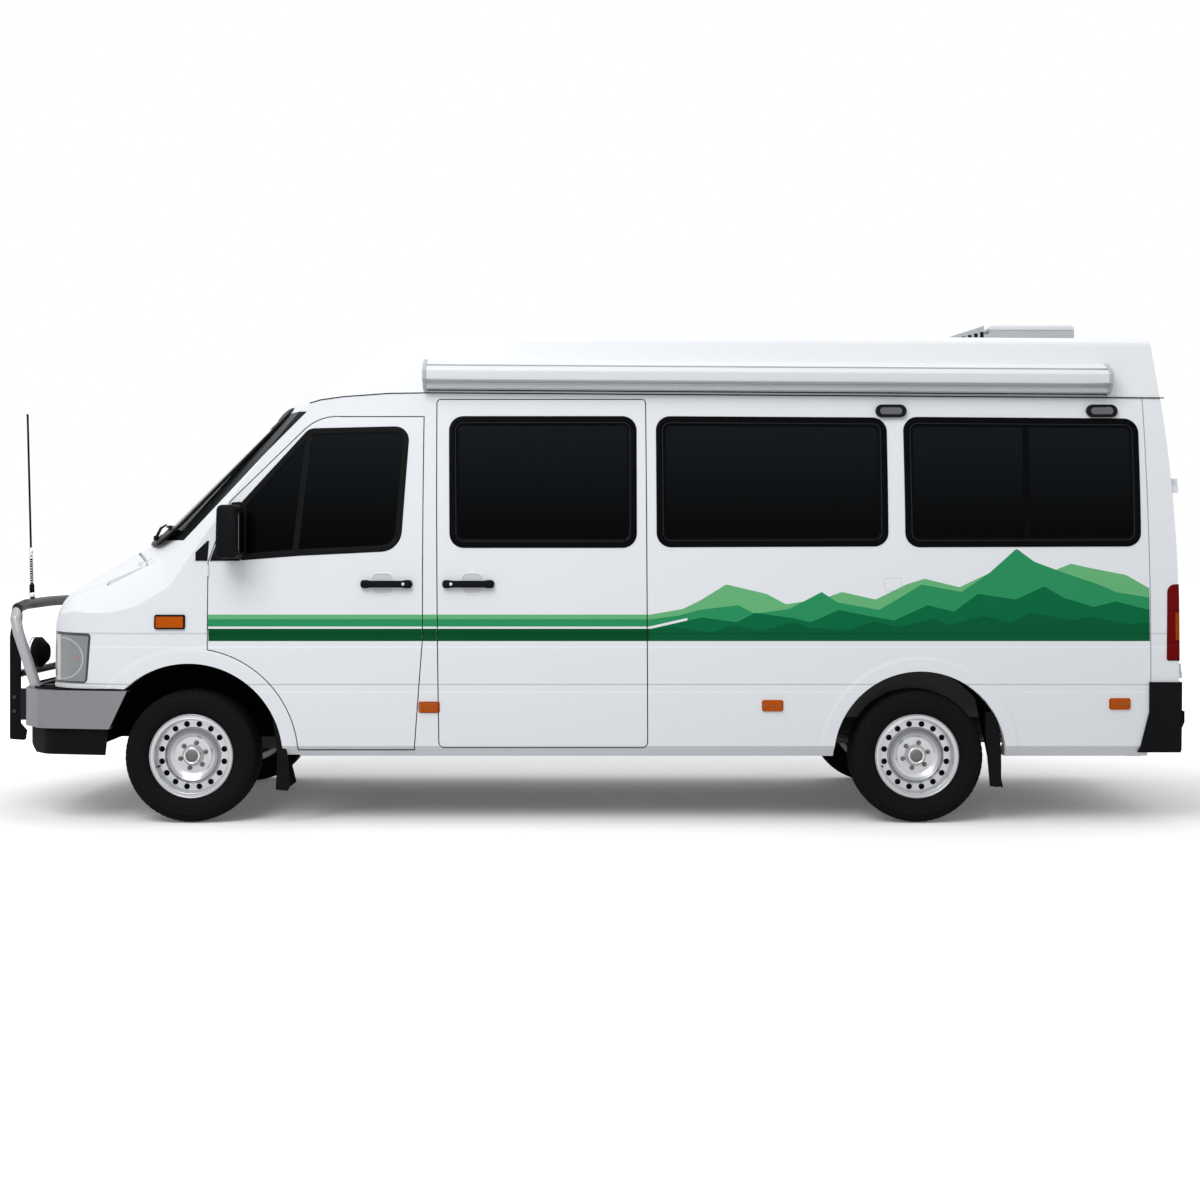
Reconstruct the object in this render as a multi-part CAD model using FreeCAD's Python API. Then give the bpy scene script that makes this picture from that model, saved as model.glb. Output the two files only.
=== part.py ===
"""Long-wheelbase high-roof camper van, right-hand drive, as an assembly of separate pieces.

Frame: millimetres, +Z up, +X to the rear, -Y the van's left (kerb) side, ground at Z = 0.
The origin is below the middle of the whole vehicle's box.
"""

import FreeCAD
import Part
import functools
import math
import os

Vector = FreeCAD.Vector

# Driving dimensions of the vehicle
wheelbase = 4024.0
front_overhang = 1107.0
rear_overhang = 1483.0
half_width = 966.0
side_radius = 7719.0
side_centre_z = 850.0
sill_z = 372.0
sill_half = 905.0
sill_depth = 70.0
tuck_z = 432.0
gutter_z = 2384.0
roof_side_rise = 288.0
roof_side_half = 738.0
shoulder_rise = 350.0
shoulder_half = 665.0
crown_rise = 384.0
roof_slope = 0.007
wall = 50.0
bonnet_wall = 26.0
glass_wall = 6.0
glass_inset = 1.0
skin = 20.0
rebate = 18.0
seam = 6.0
seat_gap = 0.4

# Wheels, tyres and steering
tyre_radius = 369.0
tyre_width = 235.0
rim_radius = 234.0
bead_radius = 219.0
barrel_radius = 205.0
rim_width = 176.0
wheel_y = 815.0
vent_holes = 16
vent_hole_radius = 16.5
vent_hole_circle = 177.0
wheel_ring_radius = 146.0
wheel_face_radius = 102.0
wheel_cap_radius = 46.0
hub_depth = 14.0
kingpin_y = 716.0
joint_half_height = 128.0
stub_radius = 30.0
running_gap = 0.5
front_arch_radius = 518.0
rear_arch_radius = 475.0
door_arc_radius = 606.0
liner_wall = 6.0

# Positions along the body, behind the front axle
nose_u = -915.0
door_front_u = 107.0
door_rear_u = 1286.0
slide_front_u = 1370.0
slide_rear_u = 2525.0
# Positions along the body, behind the rear axle
tail_v = 1463.0
quarter_seam_v = 1276.0

total_length = front_overhang + wheelbase + rear_overhang
front_axle_x = -total_length / 2 + front_overhang
rear_axle_x = front_axle_x + wheelbase
axle_z = tyre_radius


def at(x, y, z):
    """A point."""
    return Vector(x, y, z)


def box(x0, x1, y0, y1, z0, z1):
    """A box between two corners."""
    return Part.makeBox(x1 - x0, y1 - y0, z1 - z0, at(x0, y0, z0))


def rod(start, end, radius):
    """A round bar from one point to another."""
    line = end - start
    return Part.makeCylinder(radius, line.Length, start, line)


def beam_path(points, radius):
    """Round bars along a run of points, joined by balls."""
    solid = None
    for start, end in zip(points, points[1:]):
        piece = rod(start, end, radius)
        if solid is None:
            solid = piece
        else:
            solid = solid.fuse(Part.makeSphere(radius, start)).fuse(piece)
    return solid


def mirrored(shape):
    """The same shape on the other side of the van."""
    return shape.mirror(at(0, 0, 0), at(0, 1, 0))


def outline_wire(points, plane):
    """A closed wire with rounded corners, from (a, b, radius) points, in the plane XZ, XY or YZ."""
    place = {
        "XZ": lambda a, b: at(a, 0, b),
        "XY": lambda a, b: at(a, b, 0),
        "YZ": lambda a, b: at(0, a, b),
    }[plane]
    count = len(points)
    edges = []
    corners = []
    for i in range(count):
        before = place(*points[i - 1][:2])
        here = place(*points[i][:2])
        after = place(*points[(i + 1) % count][:2])
        radius = points[i][2]
        to_before = (before - here).normalize()
        to_after = (after - here).normalize()
        angle = to_before.getAngle(to_after)
        if radius <= 0 or angle > math.pi - 0.002:
            corners.append((here, None, here))
            continue
        run = radius / math.tan(angle / 2)
        bisector = (to_before + to_after).normalize()
        middle = here + bisector * (radius / math.sin(angle / 2) - radius)
        corners.append((here + to_before * run, middle, here + to_after * run))
    for i in range(count):
        start, middle, end = corners[i]
        if middle is not None:
            edges.append(Part.Arc(start, middle, end).toShape())
        following = corners[(i + 1) % count][0]
        if (following - end).Length > 1e-6:
            edges.append(Part.LineSegment(end, following).toShape())
    return Part.Wire(edges)


def arc_wire(steps):
    """A closed wire in XZ from steps (x, z) for a line and (x, z, via x, via z) for an arc."""
    edges = []
    last = at(steps[-1][0], 0, steps[-1][1])
    for step in steps:
        here = at(step[0], 0, step[1])
        if len(step) == 4:
            edges.append(Part.Arc(last, at(step[2], 0, step[3]), here).toShape())
        else:
            edges.append(Part.LineSegment(last, here).toShape())
        last = here
    return Part.Wire(edges)


def grown(wire, amount):
    """The wire moved outwards by an amount, or inwards if it is negative."""
    if abs(amount) < 1e-9:
        return wire
    return wire.makeOffset2D(amount, 2, False, False, False)


def prism(wire, start, end, grow=0.0):
    """A flat wire's face, grown if asked, pushed along its normal axis from start to end."""
    face = Part.Face(grown(wire, grow))
    axis = [0, 0, 0]
    size = wire.BoundBox
    flat = min(range(3), key=lambda i: (size.XLength, size.YLength, size.ZLength)[i])
    axis[flat] = 1
    normal = Vector(*axis)
    face.translate(normal * start)
    return face.extrude(normal * (end - start))


def half_side(z, inset=0.0):
    """Half width of the body side at a height: one long arc."""
    return math.sqrt(side_radius ** 2 - (z - side_centre_z) ** 2) - side_radius + half_width - inset


# Body surfaces

section_reach = 3600.0
hull_top = 2950.0


def lower_hull(inset):
    """The hull swept by the tucked sill and the bowed body side, straight along the van."""
    low = sill_z + inset
    tuck = tuck_z + inset
    middle = 1400.0
    head_half = half_side(hull_top, inset)

    def side(sign):
        foot = at(0, sign * half_side(tuck, inset), tuck)
        belly = at(0, sign * half_side(middle, inset), middle)
        return [
            Part.LineSegment(at(0, sign * (sill_half - inset), low), foot),
            Part.Arc(foot, belly, at(0, sign * head_half, hull_top)),
        ]

    ends = [
        Part.LineSegment(at(0, head_half, hull_top), at(0, -head_half, hull_top)),
        Part.LineSegment(at(0, sill_half - inset, low), at(0, inset - sill_half, low)),
    ]
    edges = [piece.toShape() for piece in side(1) + side(-1) + ends]
    return prism(Part.Wire(Part.__sortEdges__(edges)), -section_reach, section_reach)


def upper_hull(inset):
    """The hull swept by the high roof's sides, shoulders and crown, falling a little to the rear."""
    lean = (half_side(gutter_z) - roof_side_half) / roof_side_rise
    side_foot = (roof_side_half - inset + lean * (roof_side_rise + 700.0), gutter_z - 700.0)
    side_head = (roof_side_half - inset, gutter_z + roof_side_rise)
    shoulder = (shoulder_half - inset * 0.5, gutter_z + shoulder_rise - inset)
    bend = (roof_side_half - 20.0 - inset * 0.8, gutter_z + shoulder_rise - 20.0 - inset * 0.6)

    def place(point, sign):
        return at(0, sign * point[0], point[1])

    edges = [Part.Arc(place(shoulder, 1), at(0, 0, gutter_z + crown_rise - inset), place(shoulder, -1))]
    for sign in (1, -1):
        edges += [
            Part.Arc(place(side_head, sign), place(bend, sign), place(shoulder, sign)),
            Part.LineSegment(place(side_head, sign), place(side_foot, sign)),
            Part.LineSegment(place(side_foot, sign), at(0, sign * side_foot[0], 0)),
        ]
    edges.append(Part.LineSegment(at(0, side_foot[0], 0), at(0, -side_foot[0], 0)))
    wire = Part.Wire(Part.__sortEdges__([edge.toShape() for edge in edges]))
    hull = prism(wire, -section_reach, section_reach)
    hull.rotate(at(0, 0, gutter_z), at(0, 1, 0), math.degrees(math.atan(roof_slope)))
    return hull


@functools.lru_cache(maxsize=None)
def side_hull(inset):
    """The long hull of the body's cross-section."""
    return lower_hull(inset).common(upper_hull(inset))


nose_bow = 85.0
nose_bow_half = 680.0
screen_bow = 209.0
screen_bow_half = 800.0
tail_bow = 25.0
wing_drop = 60.0
wing_shoulder_start = 700.0
wing_shoulder_drop = 200.0


def lengthwise_profile(y, inset):
    """Side silhouette at a distance from the centreline: nose, bonnet, windscreen, cap, roof and tail."""
    span = abs(y)
    nose = front_axle_x + nose_bow * (span / nose_bow_half) ** 2 + inset
    screen = front_axle_x + screen_bow * (span / screen_bow_half) ** 2
    slant = inset * 1.4
    tail = rear_axle_x - tail_bow * (span / 850.0) ** 2 - inset
    past = max(0.0, span - wing_shoulder_start) / 280.0
    drop = wing_drop * (span / 850.0) ** 2 + wing_shoulder_drop * past ** 2 + inset
    cap_rear = screen * 0.3 + front_axle_x * 0.7 + 1300.0
    steps = [
        (tail + tail_v, 380.0),
        (nose - 880.0, 380.0),
        (nose - 900.0, 1150.0 - drop, nose + nose_u, 860.0),
        (nose - 775.0, 1315.0 - drop, nose - 862.0, 1243.0 - drop),
        (screen - 400.0, 1545.0 - drop, screen - 593.0, 1440.0 - drop),
        (screen + 385.0 + slant, 2310.0),
        (cap_rear + inset, 2775.0 - inset, screen + 746.0 + inset, 2590.0 - inset * 0.5),
        (front_axle_x + 1700.0, 2800.0 - inset),
        (tail + 1276.0, 2760.0 - inset),
        (tail + 1366.0, 2690.0 - inset * 0.3, tail + 1338.0, 2741.0 - inset * 0.8),
        (tail + 1398.0, 2385.0),
        (tail + tail_v, 1250.0, tail + 1446.0, 1790.0),
    ]
    return [(x, z) + tuple(rest) for x, z, *rest in steps]


profile_stations = (-985.0, -780.0, -400.0, 0.0, 400.0, 780.0, 985.0)


def lengthwise_hull(inset):
    """The hull that the side silhouette sweeps across the van."""
    wires = []
    for y in profile_stations:
        wire = arc_wire(lengthwise_profile(y, inset))
        wire.translate(at(0, y, 0))
        wires.append(wire)
    return Part.makeLoft(wires, True, inset > skin)


def plan_hull(inset):
    """Plan outline: the cab narrows to rounded front corners."""
    half = [
        (front_axle_x + 300.0, 1100.0),
        (front_axle_x + 100.0, 1100.0),
        (front_axle_x + 100.0, 975.0 - inset),
        (front_axle_x - 300.0, 957.0 - inset),
        (front_axle_x - 540.0, 918.0 - inset),
        (front_axle_x - 700.0, 850.0 - inset),
        (front_axle_x - 800.0, 752.0 - inset),
        (front_axle_x - 868.0 + inset, 560.0 - inset),
        (front_axle_x - 1000.0 + inset, 300.0),
    ]
    curve = Part.BSplineCurve()
    curve.interpolate([at(x, y, 0) for x, y in half[2:8]])
    back_x = rear_axle_x + 1700.0
    upper = [
        Part.LineSegment(at(back_x, 1100.0, 0), at(*half[1], 0)).toShape(),
        Part.LineSegment(at(*half[1], 0), at(*half[2], 0)).toShape(),
        curve.toShape(),
        Part.LineSegment(at(*half[7], 0), at(*half[8], 0)).toShape(),
    ]
    lower = [edge.mirror(at(0, 0, 0), at(0, 1, 0)) for edge in upper]
    front = Part.LineSegment(at(half[8][0], half[8][1], 0), at(half[8][0], -half[8][1], 0)).toShape()
    back = Part.LineSegment(at(back_x, 1100.0, 0), at(back_x, -1100.0, 0)).toShape()
    wire = Part.Wire(Part.__sortEdges__(upper + lower + [front, back]))
    return prism(wire, 200.0, 3000.0)


@functools.lru_cache(maxsize=None)
def body_hull(inset):
    """The body's outer form, moved inwards by the inset."""
    return side_hull(inset).common(lengthwise_hull(inset)).common(plan_hull(inset))


# Shared hulls

outer_hull = body_hull(0.0)
skin_hull = body_hull(skin)
inner_hull = body_hull(wall)
room_hull = body_hull(wall + seat_gap)
side_outer = side_hull(0.0)
side_skin = side_hull(skin)
side_inner = side_hull(wall)
body_shell = outer_hull.cut(inner_hull)
far = 4000.0
left_of = -1200.0
left_to = -300.0
pieces = {}


def side_region(wire, grow=0.0):
    """Everything on the left side inside an outline drawn in XZ."""
    return prism(wire, left_of, left_to, grow)


# Outlines on the side of the body

door_bottom_z = 412.0
door_top_z = 2254.0
door_front_x = front_axle_x + door_front_u
door_rear_x = front_axle_x + door_rear_u


def on_circle(centre_x, centre_z, radius, degrees):
    """A point (x, z) on a circle."""
    turn = math.radians(degrees)
    return centre_x + radius * math.cos(turn), centre_z + radius * math.sin(turn)


arc_low_angle = math.degrees(math.asin((door_bottom_z - axle_z) / door_arc_radius))
arc_high_angle = math.degrees(math.acos(door_front_u / door_arc_radius))
arc_low = on_circle(front_axle_x, axle_z, door_arc_radius, arc_low_angle)
arc_mid = on_circle(front_axle_x, axle_z, door_arc_radius, (arc_low_angle + arc_high_angle) / 2)
arc_high = on_circle(front_axle_x, axle_z, door_arc_radius, arc_high_angle)
belt_z = 1452.0
cab_door_outline = arc_wire([
    (door_front_x, belt_z - 6.0),
    (door_front_x + 115.0, 1780.0),
    (door_front_x + 520.0, 2187.0),
    (door_front_x + 720.0, door_top_z, door_front_x + 606.0, 2240.0),
    (door_rear_x - 4.0, door_top_z),
    (door_rear_x, 1020.0),
    (door_rear_x - 46.0, door_bottom_z),
    arc_low,
    arc_high + arc_mid,
])
cab_window_outline = outline_wire([
    (front_axle_x + 284.0, 1463.0, 6.0),
    (front_axle_x + 283.0, 1767.0, 30.0),
    (front_axle_x + 650.0, 2183.0, 60.0),
    (front_axle_x + 1200.0, 2196.0, 70.0),
    (front_axle_x + 1166.0, 1652.0, 90.0),
    (front_axle_x + 1092.0, 1512.0, 60.0),
    (front_axle_x + 600.0, 1488.0, 400.0),
], "XZ")
slide_front_x = front_axle_x + slide_front_u
slide_rear_x = front_axle_x + slide_rear_u
slide_outline = outline_wire([
    (slide_front_x - 12.0, 2352.0, 20.0),
    (slide_rear_x - 6.0, 2352.0, 20.0),
    (slide_rear_x + 2.0, 425.0, 30.0),
    (slide_front_x + 12.0, 425.0, 30.0),
], "XZ")
window_low_z = 1526.0
window_high_z = 2258.0
window_corner = 78.0
window_one = outline_wire([
    (slide_front_x + 56.0, window_high_z, window_corner),
    (slide_rear_x - 56.0, window_high_z, window_corner),
    (slide_rear_x - 56.0, window_low_z, window_corner),
    (slide_front_x + 68.0, window_low_z, window_corner),
], "XZ")
window_two = outline_wire([
    (slide_rear_x + 55.0, window_high_z, window_corner),
    (rear_axle_x - 160.0, window_high_z - 8.0, window_corner),
    (rear_axle_x - 165.0, window_low_z + 8.0, window_corner),
    (slide_rear_x + 57.0, window_low_z + 3.0, window_corner),
], "XZ")
window_three = outline_wire([
    (rear_axle_x - 65.0, window_high_z - 4.0, window_corner),
    (rear_axle_x + 1242.0, window_high_z - 14.0, window_corner),
    (rear_axle_x + 1230.0, window_low_z + 8.0, window_corner),
    (rear_axle_x - 68.0, window_low_z + 3.0, window_corner),
], "XZ")
quarter_seam_x = rear_axle_x + quarter_seam_v


def drum(x, z, radius, y0, y1):
    """A cylinder lying across the van between two Y values."""
    return Part.makeCylinder(radius, y1 - y0, at(x, y0, z), at(0, 1, 0))


front_arch = drum(front_axle_x, axle_z, front_arch_radius, left_of, -400.0)
rear_arch = drum(rear_axle_x + 8.0, axle_z, rear_arch_radius, left_of, -400.0)


def layered_panel(outline, side=-1):
    """A panel as thick as the wall: the skin to the outline and the inner part set back all round."""
    outside = side_outer.cut(side_skin).common(side_region(outline))
    inside = side_skin.cut(side_inner).common(side_region(outline, -rebate))
    return outside.fuse(inside).removeSplitter()


def layered_opening(outline, gap, inner_gap):
    """What a layered panel's opening takes out of the wall: wide in the skin, narrower behind it."""
    outside = side_region(outline, gap).cut(side_skin)
    inside = side_region(outline, inner_gap - rebate)
    return outside.fuse(inside)


# Cab doors

def knuckles(fixed, moving, start, direction, length, radius):
    """A hinge on an axis: the fixed piece gets the low knuckle and pin, the moving one the high knuckle."""
    axis = Vector(direction).normalize()
    half = length / 2
    middle = start + axis * half
    low = Part.makeCylinder(radius, half - running_gap, start, axis)
    pin = Part.makeCylinder(radius * 0.5, length, start, axis)
    high = Part.makeCylinder(radius, half, middle, axis)
    hole = Part.makeCylinder(radius * 0.5 + running_gap, half + 2, middle - axis, axis)
    clear = radius + 2 * running_gap
    clear_low = Part.makeCylinder(clear, half + running_gap, start - axis * running_gap, axis)
    clear_high = Part.makeCylinder(clear, half + 2 * running_gap, middle, axis)
    moving = moving.cut(clear_low).fuse(high.cut(hole)).cut(hole)
    fixed = fixed.cut(clear_high).fuse(low.fuse(pin))
    return fixed, moving


door_axis_lean = 48.0 / 1400.0
door_hinge_base = at(door_front_x - seam / 2, -(half_width + 1.0), side_centre_z)
door_hinge_axis = at(0, door_axis_lean, 1)


def on_door_axis(z):
    """The point of the left cab door's hinge axis at a height."""
    return door_hinge_base + door_hinge_axis * (z - side_centre_z)


cab_door = layered_panel(cab_door_outline).cut(side_region(cab_window_outline))


# Wings, bonnet and cab frame

bonnet_rear_u = -480.0
bonnet_rear_gap = 16.0


def bonnet_outline(grow, rear_grow):
    """Plan outline of the bonnet, grown at its sides and at its rear edge."""
    rear = []
    for y in (-790.0, -400.0, 0.0, 400.0, 790.0):
        bow = screen_bow * (y / screen_bow_half) ** 2
        rear.append(at(front_axle_x + bonnet_rear_u + rear_grow + bow, y, 0))
    rear[0].y -= grow
    rear[-1].y += grow
    curve = Part.BSplineCurve()
    curve.interpolate(rear)
    tip = front_axle_x - 1000.0
    corners = [rear[-1], at(tip, 690.0 + grow, 0), at(tip, -690.0 - grow, 0), rear[0]]
    edges = [curve.toShape()]
    for start, end in zip(corners, corners[1:]):
        edges.append(Part.LineSegment(start, end).toShape())
    return Part.Wire(edges)


bonnet_edge_z = 1126.0
nose_shell = outer_hull.cut(body_hull(bonnet_wall))
bonnet = nose_shell.common(prism(bonnet_outline(-seam / 2, -seam / 2), bonnet_edge_z, 1700.0))
bonnet_cut = prism(bonnet_outline(seam / 2, bonnet_rear_gap - seam / 2), bonnet_edge_z - seam, 1700.0)
cowl_cut = box(front_axle_x + bonnet_rear_u - 20.0, front_axle_x + 700.0, -796.0, 796.0, 1300.0, 1800.0)
lamp_low_z = 772.0
lamp_high_z = 1056.0
lamp_inner_y = 560.0
lamp_side = outline_wire([
    (front_axle_x - 1100.0, lamp_low_z, 0),
    (front_axle_x - 574.0, lamp_low_z, 30.0),
    (front_axle_x - 551.0, lamp_high_z - 6.0, 20.0),
    (front_axle_x - 1100.0, lamp_high_z + 10.0, 0),
], "XZ")
lamp_room = prism(lamp_side, left_of, -lamp_inner_y)
wing_low_z = 745.0
wing_edge_gap = seam + 2.0
wing_region = box(-far, door_front_x - wing_edge_gap, left_of, -lamp_inner_y + 12.0, wing_low_z, belt_z)
arch_strip = box(front_axle_x, arc_low[0], left_of, left_to, sill_z - 10.0, belt_z)
door_gap_cut = side_region(cab_door_outline, seam)
wing = body_shell.common(wing_region.fuse(arch_strip))
under_cut = box(-far, far, sill_depth - sill_half, 0.0, 0.0, sill_z + 100.0)
wing = wing.cut(front_arch).cut(bonnet_cut).cut(cowl_cut).cut(lamp_room).cut(door_gap_cut).cut(under_cut)
wing = max(wing.Solids, key=lambda solid: solid.Volume)
headlamp = body_hull(2.0).cut(body_hull(60.0))
headlamp = headlamp.common(prism(lamp_side, left_of, -lamp_inner_y - seat_gap, -seat_gap))

roof_line = arc_wire([
    (front_axle_x + 180.0, 2292.0),
    (front_axle_x + 560.0, 2292.0),
    (front_axle_x + 830.0, 2368.0, front_axle_x + 680.0, 2345.0),
    (front_axle_x + 1090.0, 2387.0),
    (rear_axle_x + 1700.0, 2356.0),
    (rear_axle_x + 1700.0, 3000.0),
    (front_axle_x + 180.0, 3000.0),
])
roof_region = prism(roof_line, -1100.0, 1100.0)
vent_front_x = rear_axle_x + 542.0
vent_rear_x = rear_axle_x + 1042.0
vent_half = 300.0
vent_hole = box(vent_front_x + 40.0, vent_rear_x - 40.0, 40.0 - vent_half, vent_half - 40.0, 2500.0, 3000.0)
roof = body_shell.common(roof_region).cut(vent_hole)

frame_back_x = door_rear_x + 8.0
screen_low = 1600.0
screen_high = 2262.0


def screen_outline(grow):
    """The windscreen's opening seen from the front, grown by an amount."""
    return grown(outline_wire([
        (-775.0, screen_low, 60.0),
        (-640.0, screen_high, 60.0),
        (640.0, screen_high, 60.0),
        (775.0, screen_low, 60.0),
    ], "YZ"), grow)


screen_room = prism(screen_outline(0.0), front_axle_x - 700.0, front_axle_x + 760.0)
cab_region = box(front_axle_x - 700.0, frame_back_x, -1100.0, 1100.0, belt_z, 2600.0)
cowl_region = box(front_axle_x - 700.0, frame_back_x, -790.0, 790.0, 1300.0, belt_z)
cab_opening = layered_opening(cab_door_outline, seam, seam)
cab_frame = body_shell.common(cab_region.fuse(cowl_region).removeSplitter())
cab_frame = cab_frame.cut(roof_region).cut(screen_room).cut(bonnet_cut)
cab_frame = cab_frame.cut(cab_opening).cut(mirrored(cab_opening))
pillar_u = 900.0
cab_frame = cab_frame.cut(box(front_axle_x + pillar_u, far, -1100.0, 1100.0, 1300.0, door_top_z - 40.0))
cab_frame = max(cab_frame.Solids, key=lambda solid: solid.Volume)
windscreen = body_hull(glass_inset).cut(body_hull(glass_inset + glass_wall)).common(screen_room)

# Side walls and sliding door

wall_region = box(arc_low[0], quarter_seam_x, left_of, left_to, sill_z - 10.0, 2600.0)
pillar_clear = box(-far, frame_back_x, left_of, left_to, door_top_z - 40.0, 2600.0)
side_wall = side_outer.cut(side_inner).common(wall_region)
side_wall = side_wall.cut(roof_region).cut(pillar_clear).cut(rear_arch).cut(cab_opening).cut(under_cut)
side_wall = max(side_wall.Solids, key=lambda solid: solid.Volume)
groove_depth = 12.0
quarter_groove = box(quarter_seam_x - seam / 2, quarter_seam_x + seam / 2, left_of, left_to, sill_z, gutter_z)
quarter_groove = quarter_groove.cut(side_hull(groove_depth))
side_wall = side_wall.cut(quarter_groove)
windows_cut = side_region(window_two).fuse(side_region(window_three))
side_wall_right = mirrored(side_wall.cut(windows_cut).cut(side_region(window_one)))
side_wall_left = side_wall.cut(windows_cut).cut(layered_opening(slide_outline, seam, seat_gap))
sliding_door = layered_panel(slide_outline).cut(side_region(window_one))
pane = side_hull(glass_inset).cut(side_hull(glass_inset + glass_wall))
side_panes = [pane.common(side_region(wire)) for wire in (window_one, window_two, window_three)]
cab_pane = pane.common(side_region(cab_window_outline))

# Tail: corner frame, rear doors and lamps

door_edge_inset = 115.0
rear_door_low = 640.0
rear_door_high = 2322.0
rear_floor_z = 440.0


def rear_opening_points(low, high):
    """Corners of the rear opening, leaning in with the body side."""
    heights = (low, 1300.0, 1850.0, high)
    right = [(half_side(z) - door_edge_inset, z) for z in heights]
    return right + [(-y, z) for y, z in reversed(right)]


rear_corner_radii = (10.0, 0, 0, 60.0, 60.0, 0, 0, 10.0)
rear_corners = rear_opening_points(rear_door_low, rear_door_high)
rear_opening = outline_wire([(y, z, r) for (y, z), r in zip(rear_corners, rear_corner_radii)], "YZ")
tail_region = box(quarter_seam_x, far, -1100.0, 1100.0, rear_floor_z, 2600.0)
tail_skin_cut = prism(rear_opening, quarter_seam_x + 40.0, far, seam).cut(skin_hull)
tail_inner_cut = prism(rear_opening, quarter_seam_x - 10.0, far, seam - rebate)
rear_frame = body_shell.common(tail_region).cut(roof_region).cut(tail_skin_cut).cut(tail_inner_cut)
rear_frame = rear_frame.cut(quarter_groove).cut(mirrored(quarter_groove))
tail_lamp_low = 903.0
tail_lamp_high = 1324.0
tail_lamp_x = rear_axle_x + 1362.0
tail_lamp_inner_y = -(half_side(1200.0) - door_edge_inset + seam + 8.0)
tail_lamp_side = outline_wire([
    (tail_lamp_x, tail_lamp_low, 14.0),
    (tail_lamp_x + 8.0, tail_lamp_high, 46.0),
    (tail_lamp_x + 400.0, tail_lamp_high, 0),
    (tail_lamp_x + 400.0, tail_lamp_low, 0),
], "XZ")
tail_lamp_room = prism(tail_lamp_side, left_of, tail_lamp_inner_y)
tail_lamp = body_hull(-3.0).cut(body_hull(30.0)).common(
    prism(tail_lamp_side, left_of, tail_lamp_inner_y - seat_gap, -seat_gap))
tail_lamp_pocket = tail_lamp_room.cut(body_hull(30.0 + seat_gap))
rear_frame = rear_frame.cut(tail_lamp_pocket).cut(mirrored(tail_lamp_pocket))

middle_gap = 10.0
door_side = box(quarter_seam_x - 100.0, far, left_of, -middle_gap / 2, 0.0, 3000.0)
door_side_inner = box(quarter_seam_x - 100.0, far, left_of, -middle_gap / 2 - rebate, 0.0, 3000.0)
rear_skin = outer_hull.cut(skin_hull).common(prism(rear_opening, quarter_seam_x + 60.0, far))
rear_skin = rear_skin.common(door_side)
rear_core = skin_hull.cut(inner_hull).common(prism(rear_opening, quarter_seam_x + 60.0, far, -rebate))
rear_door = rear_skin.fuse(rear_core.common(door_side_inner)).removeSplitter()
rear_window = outline_wire([
    (-95.0, 1560.0, 60.0),
    (-95.0, 2190.0, 60.0),
    (-(half_side(2190.0) - 210.0), 2190.0, 60.0),
    (-(half_side(1560.0) - 210.0), 1560.0, 60.0),
], "YZ")
rear_window_room = prism(rear_window, quarter_seam_x, far)
rear_door = rear_door.cut(rear_window_room)
rear_pane = body_hull(glass_inset).cut(body_hull(glass_inset + glass_wall)).common(rear_window_room)
rear_hinge_lean = 0.02
rear_hinge_base = at(rear_axle_x + tail_v + 9.0, -(half_side(900.0) - door_edge_inset + 3.0), 900.0)
rear_hinge_axis = at(-rear_hinge_lean, 0, 1)


# Fit the hinges

for hinge_z in (1010.0, 1370.0):
    wing, cab_door = knuckles(wing, cab_door, on_door_axis(hinge_z), door_hinge_axis, 60.0, 7.0)


def on_rear_axis(z):
    """The point of the left rear door's hinge axis at a height."""
    return rear_hinge_base + rear_hinge_axis * (z - 900.0)


arm_clear = body_hull(-2.0).cut(prism(rear_opening, quarter_seam_x, far, -1.0))
for hinge_z in (800.0, 1830.0):
    start = on_rear_axis(hinge_z)
    half = 40.0
    face_x = start.x - 60.0
    fixed_arm = box(face_x, start.x, start.y - 34.0, start.y, hinge_z, hinge_z + half - 1.0)
    fixed_arm = fixed_arm.cut(inner_hull)
    moving_arm = box(face_x, start.x, start.y, start.y + 120.0, hinge_z + half + 1.0, hinge_z + 2 * half)
    moving_arm = moving_arm.cut(skin_hull).cut(arm_clear)
    fixed_arm, moving_arm = knuckles(fixed_arm, moving_arm, start, rear_hinge_axis, 2 * half, 8.0)
    rear_door = rear_door.fuse(moving_arm)
    rear_frame = rear_frame.fuse(fixed_arm).fuse(mirrored(fixed_arm))

bonnet_axis_x = front_axle_x - 266.0
bonnet_axis_z = 1440.0
slot = box(bonnet_axis_x - 80.0, bonnet_axis_x + 14.0, -768.0, -744.0, bonnet_axis_z - 22.0, 1700.0)
cab_frame = cab_frame.cut(slot).cut(mirrored(slot))
bonnet_arm = box(bonnet_axis_x - 66.0, bonnet_axis_x, -764.0, -748.0,
                 bonnet_axis_z - 10.0, bonnet_axis_z + 6.0)
bonnet_arm = bonnet_arm.fuse(drum(bonnet_axis_x, bonnet_axis_z, 9.0, -764.0, -748.0))
bonnet_arm = bonnet_arm.cut(drum(bonnet_axis_x, bonnet_axis_z, 5.0, -770.0, -740.0))
bonnet_pin = drum(bonnet_axis_x, bonnet_axis_z, 4.5, -772.0, -740.0)
bonnet = bonnet.fuse(bonnet_arm).fuse(mirrored(bonnet_arm))
cab_frame = cab_frame.fuse(bonnet_pin).fuse(mirrored(bonnet_pin))

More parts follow.
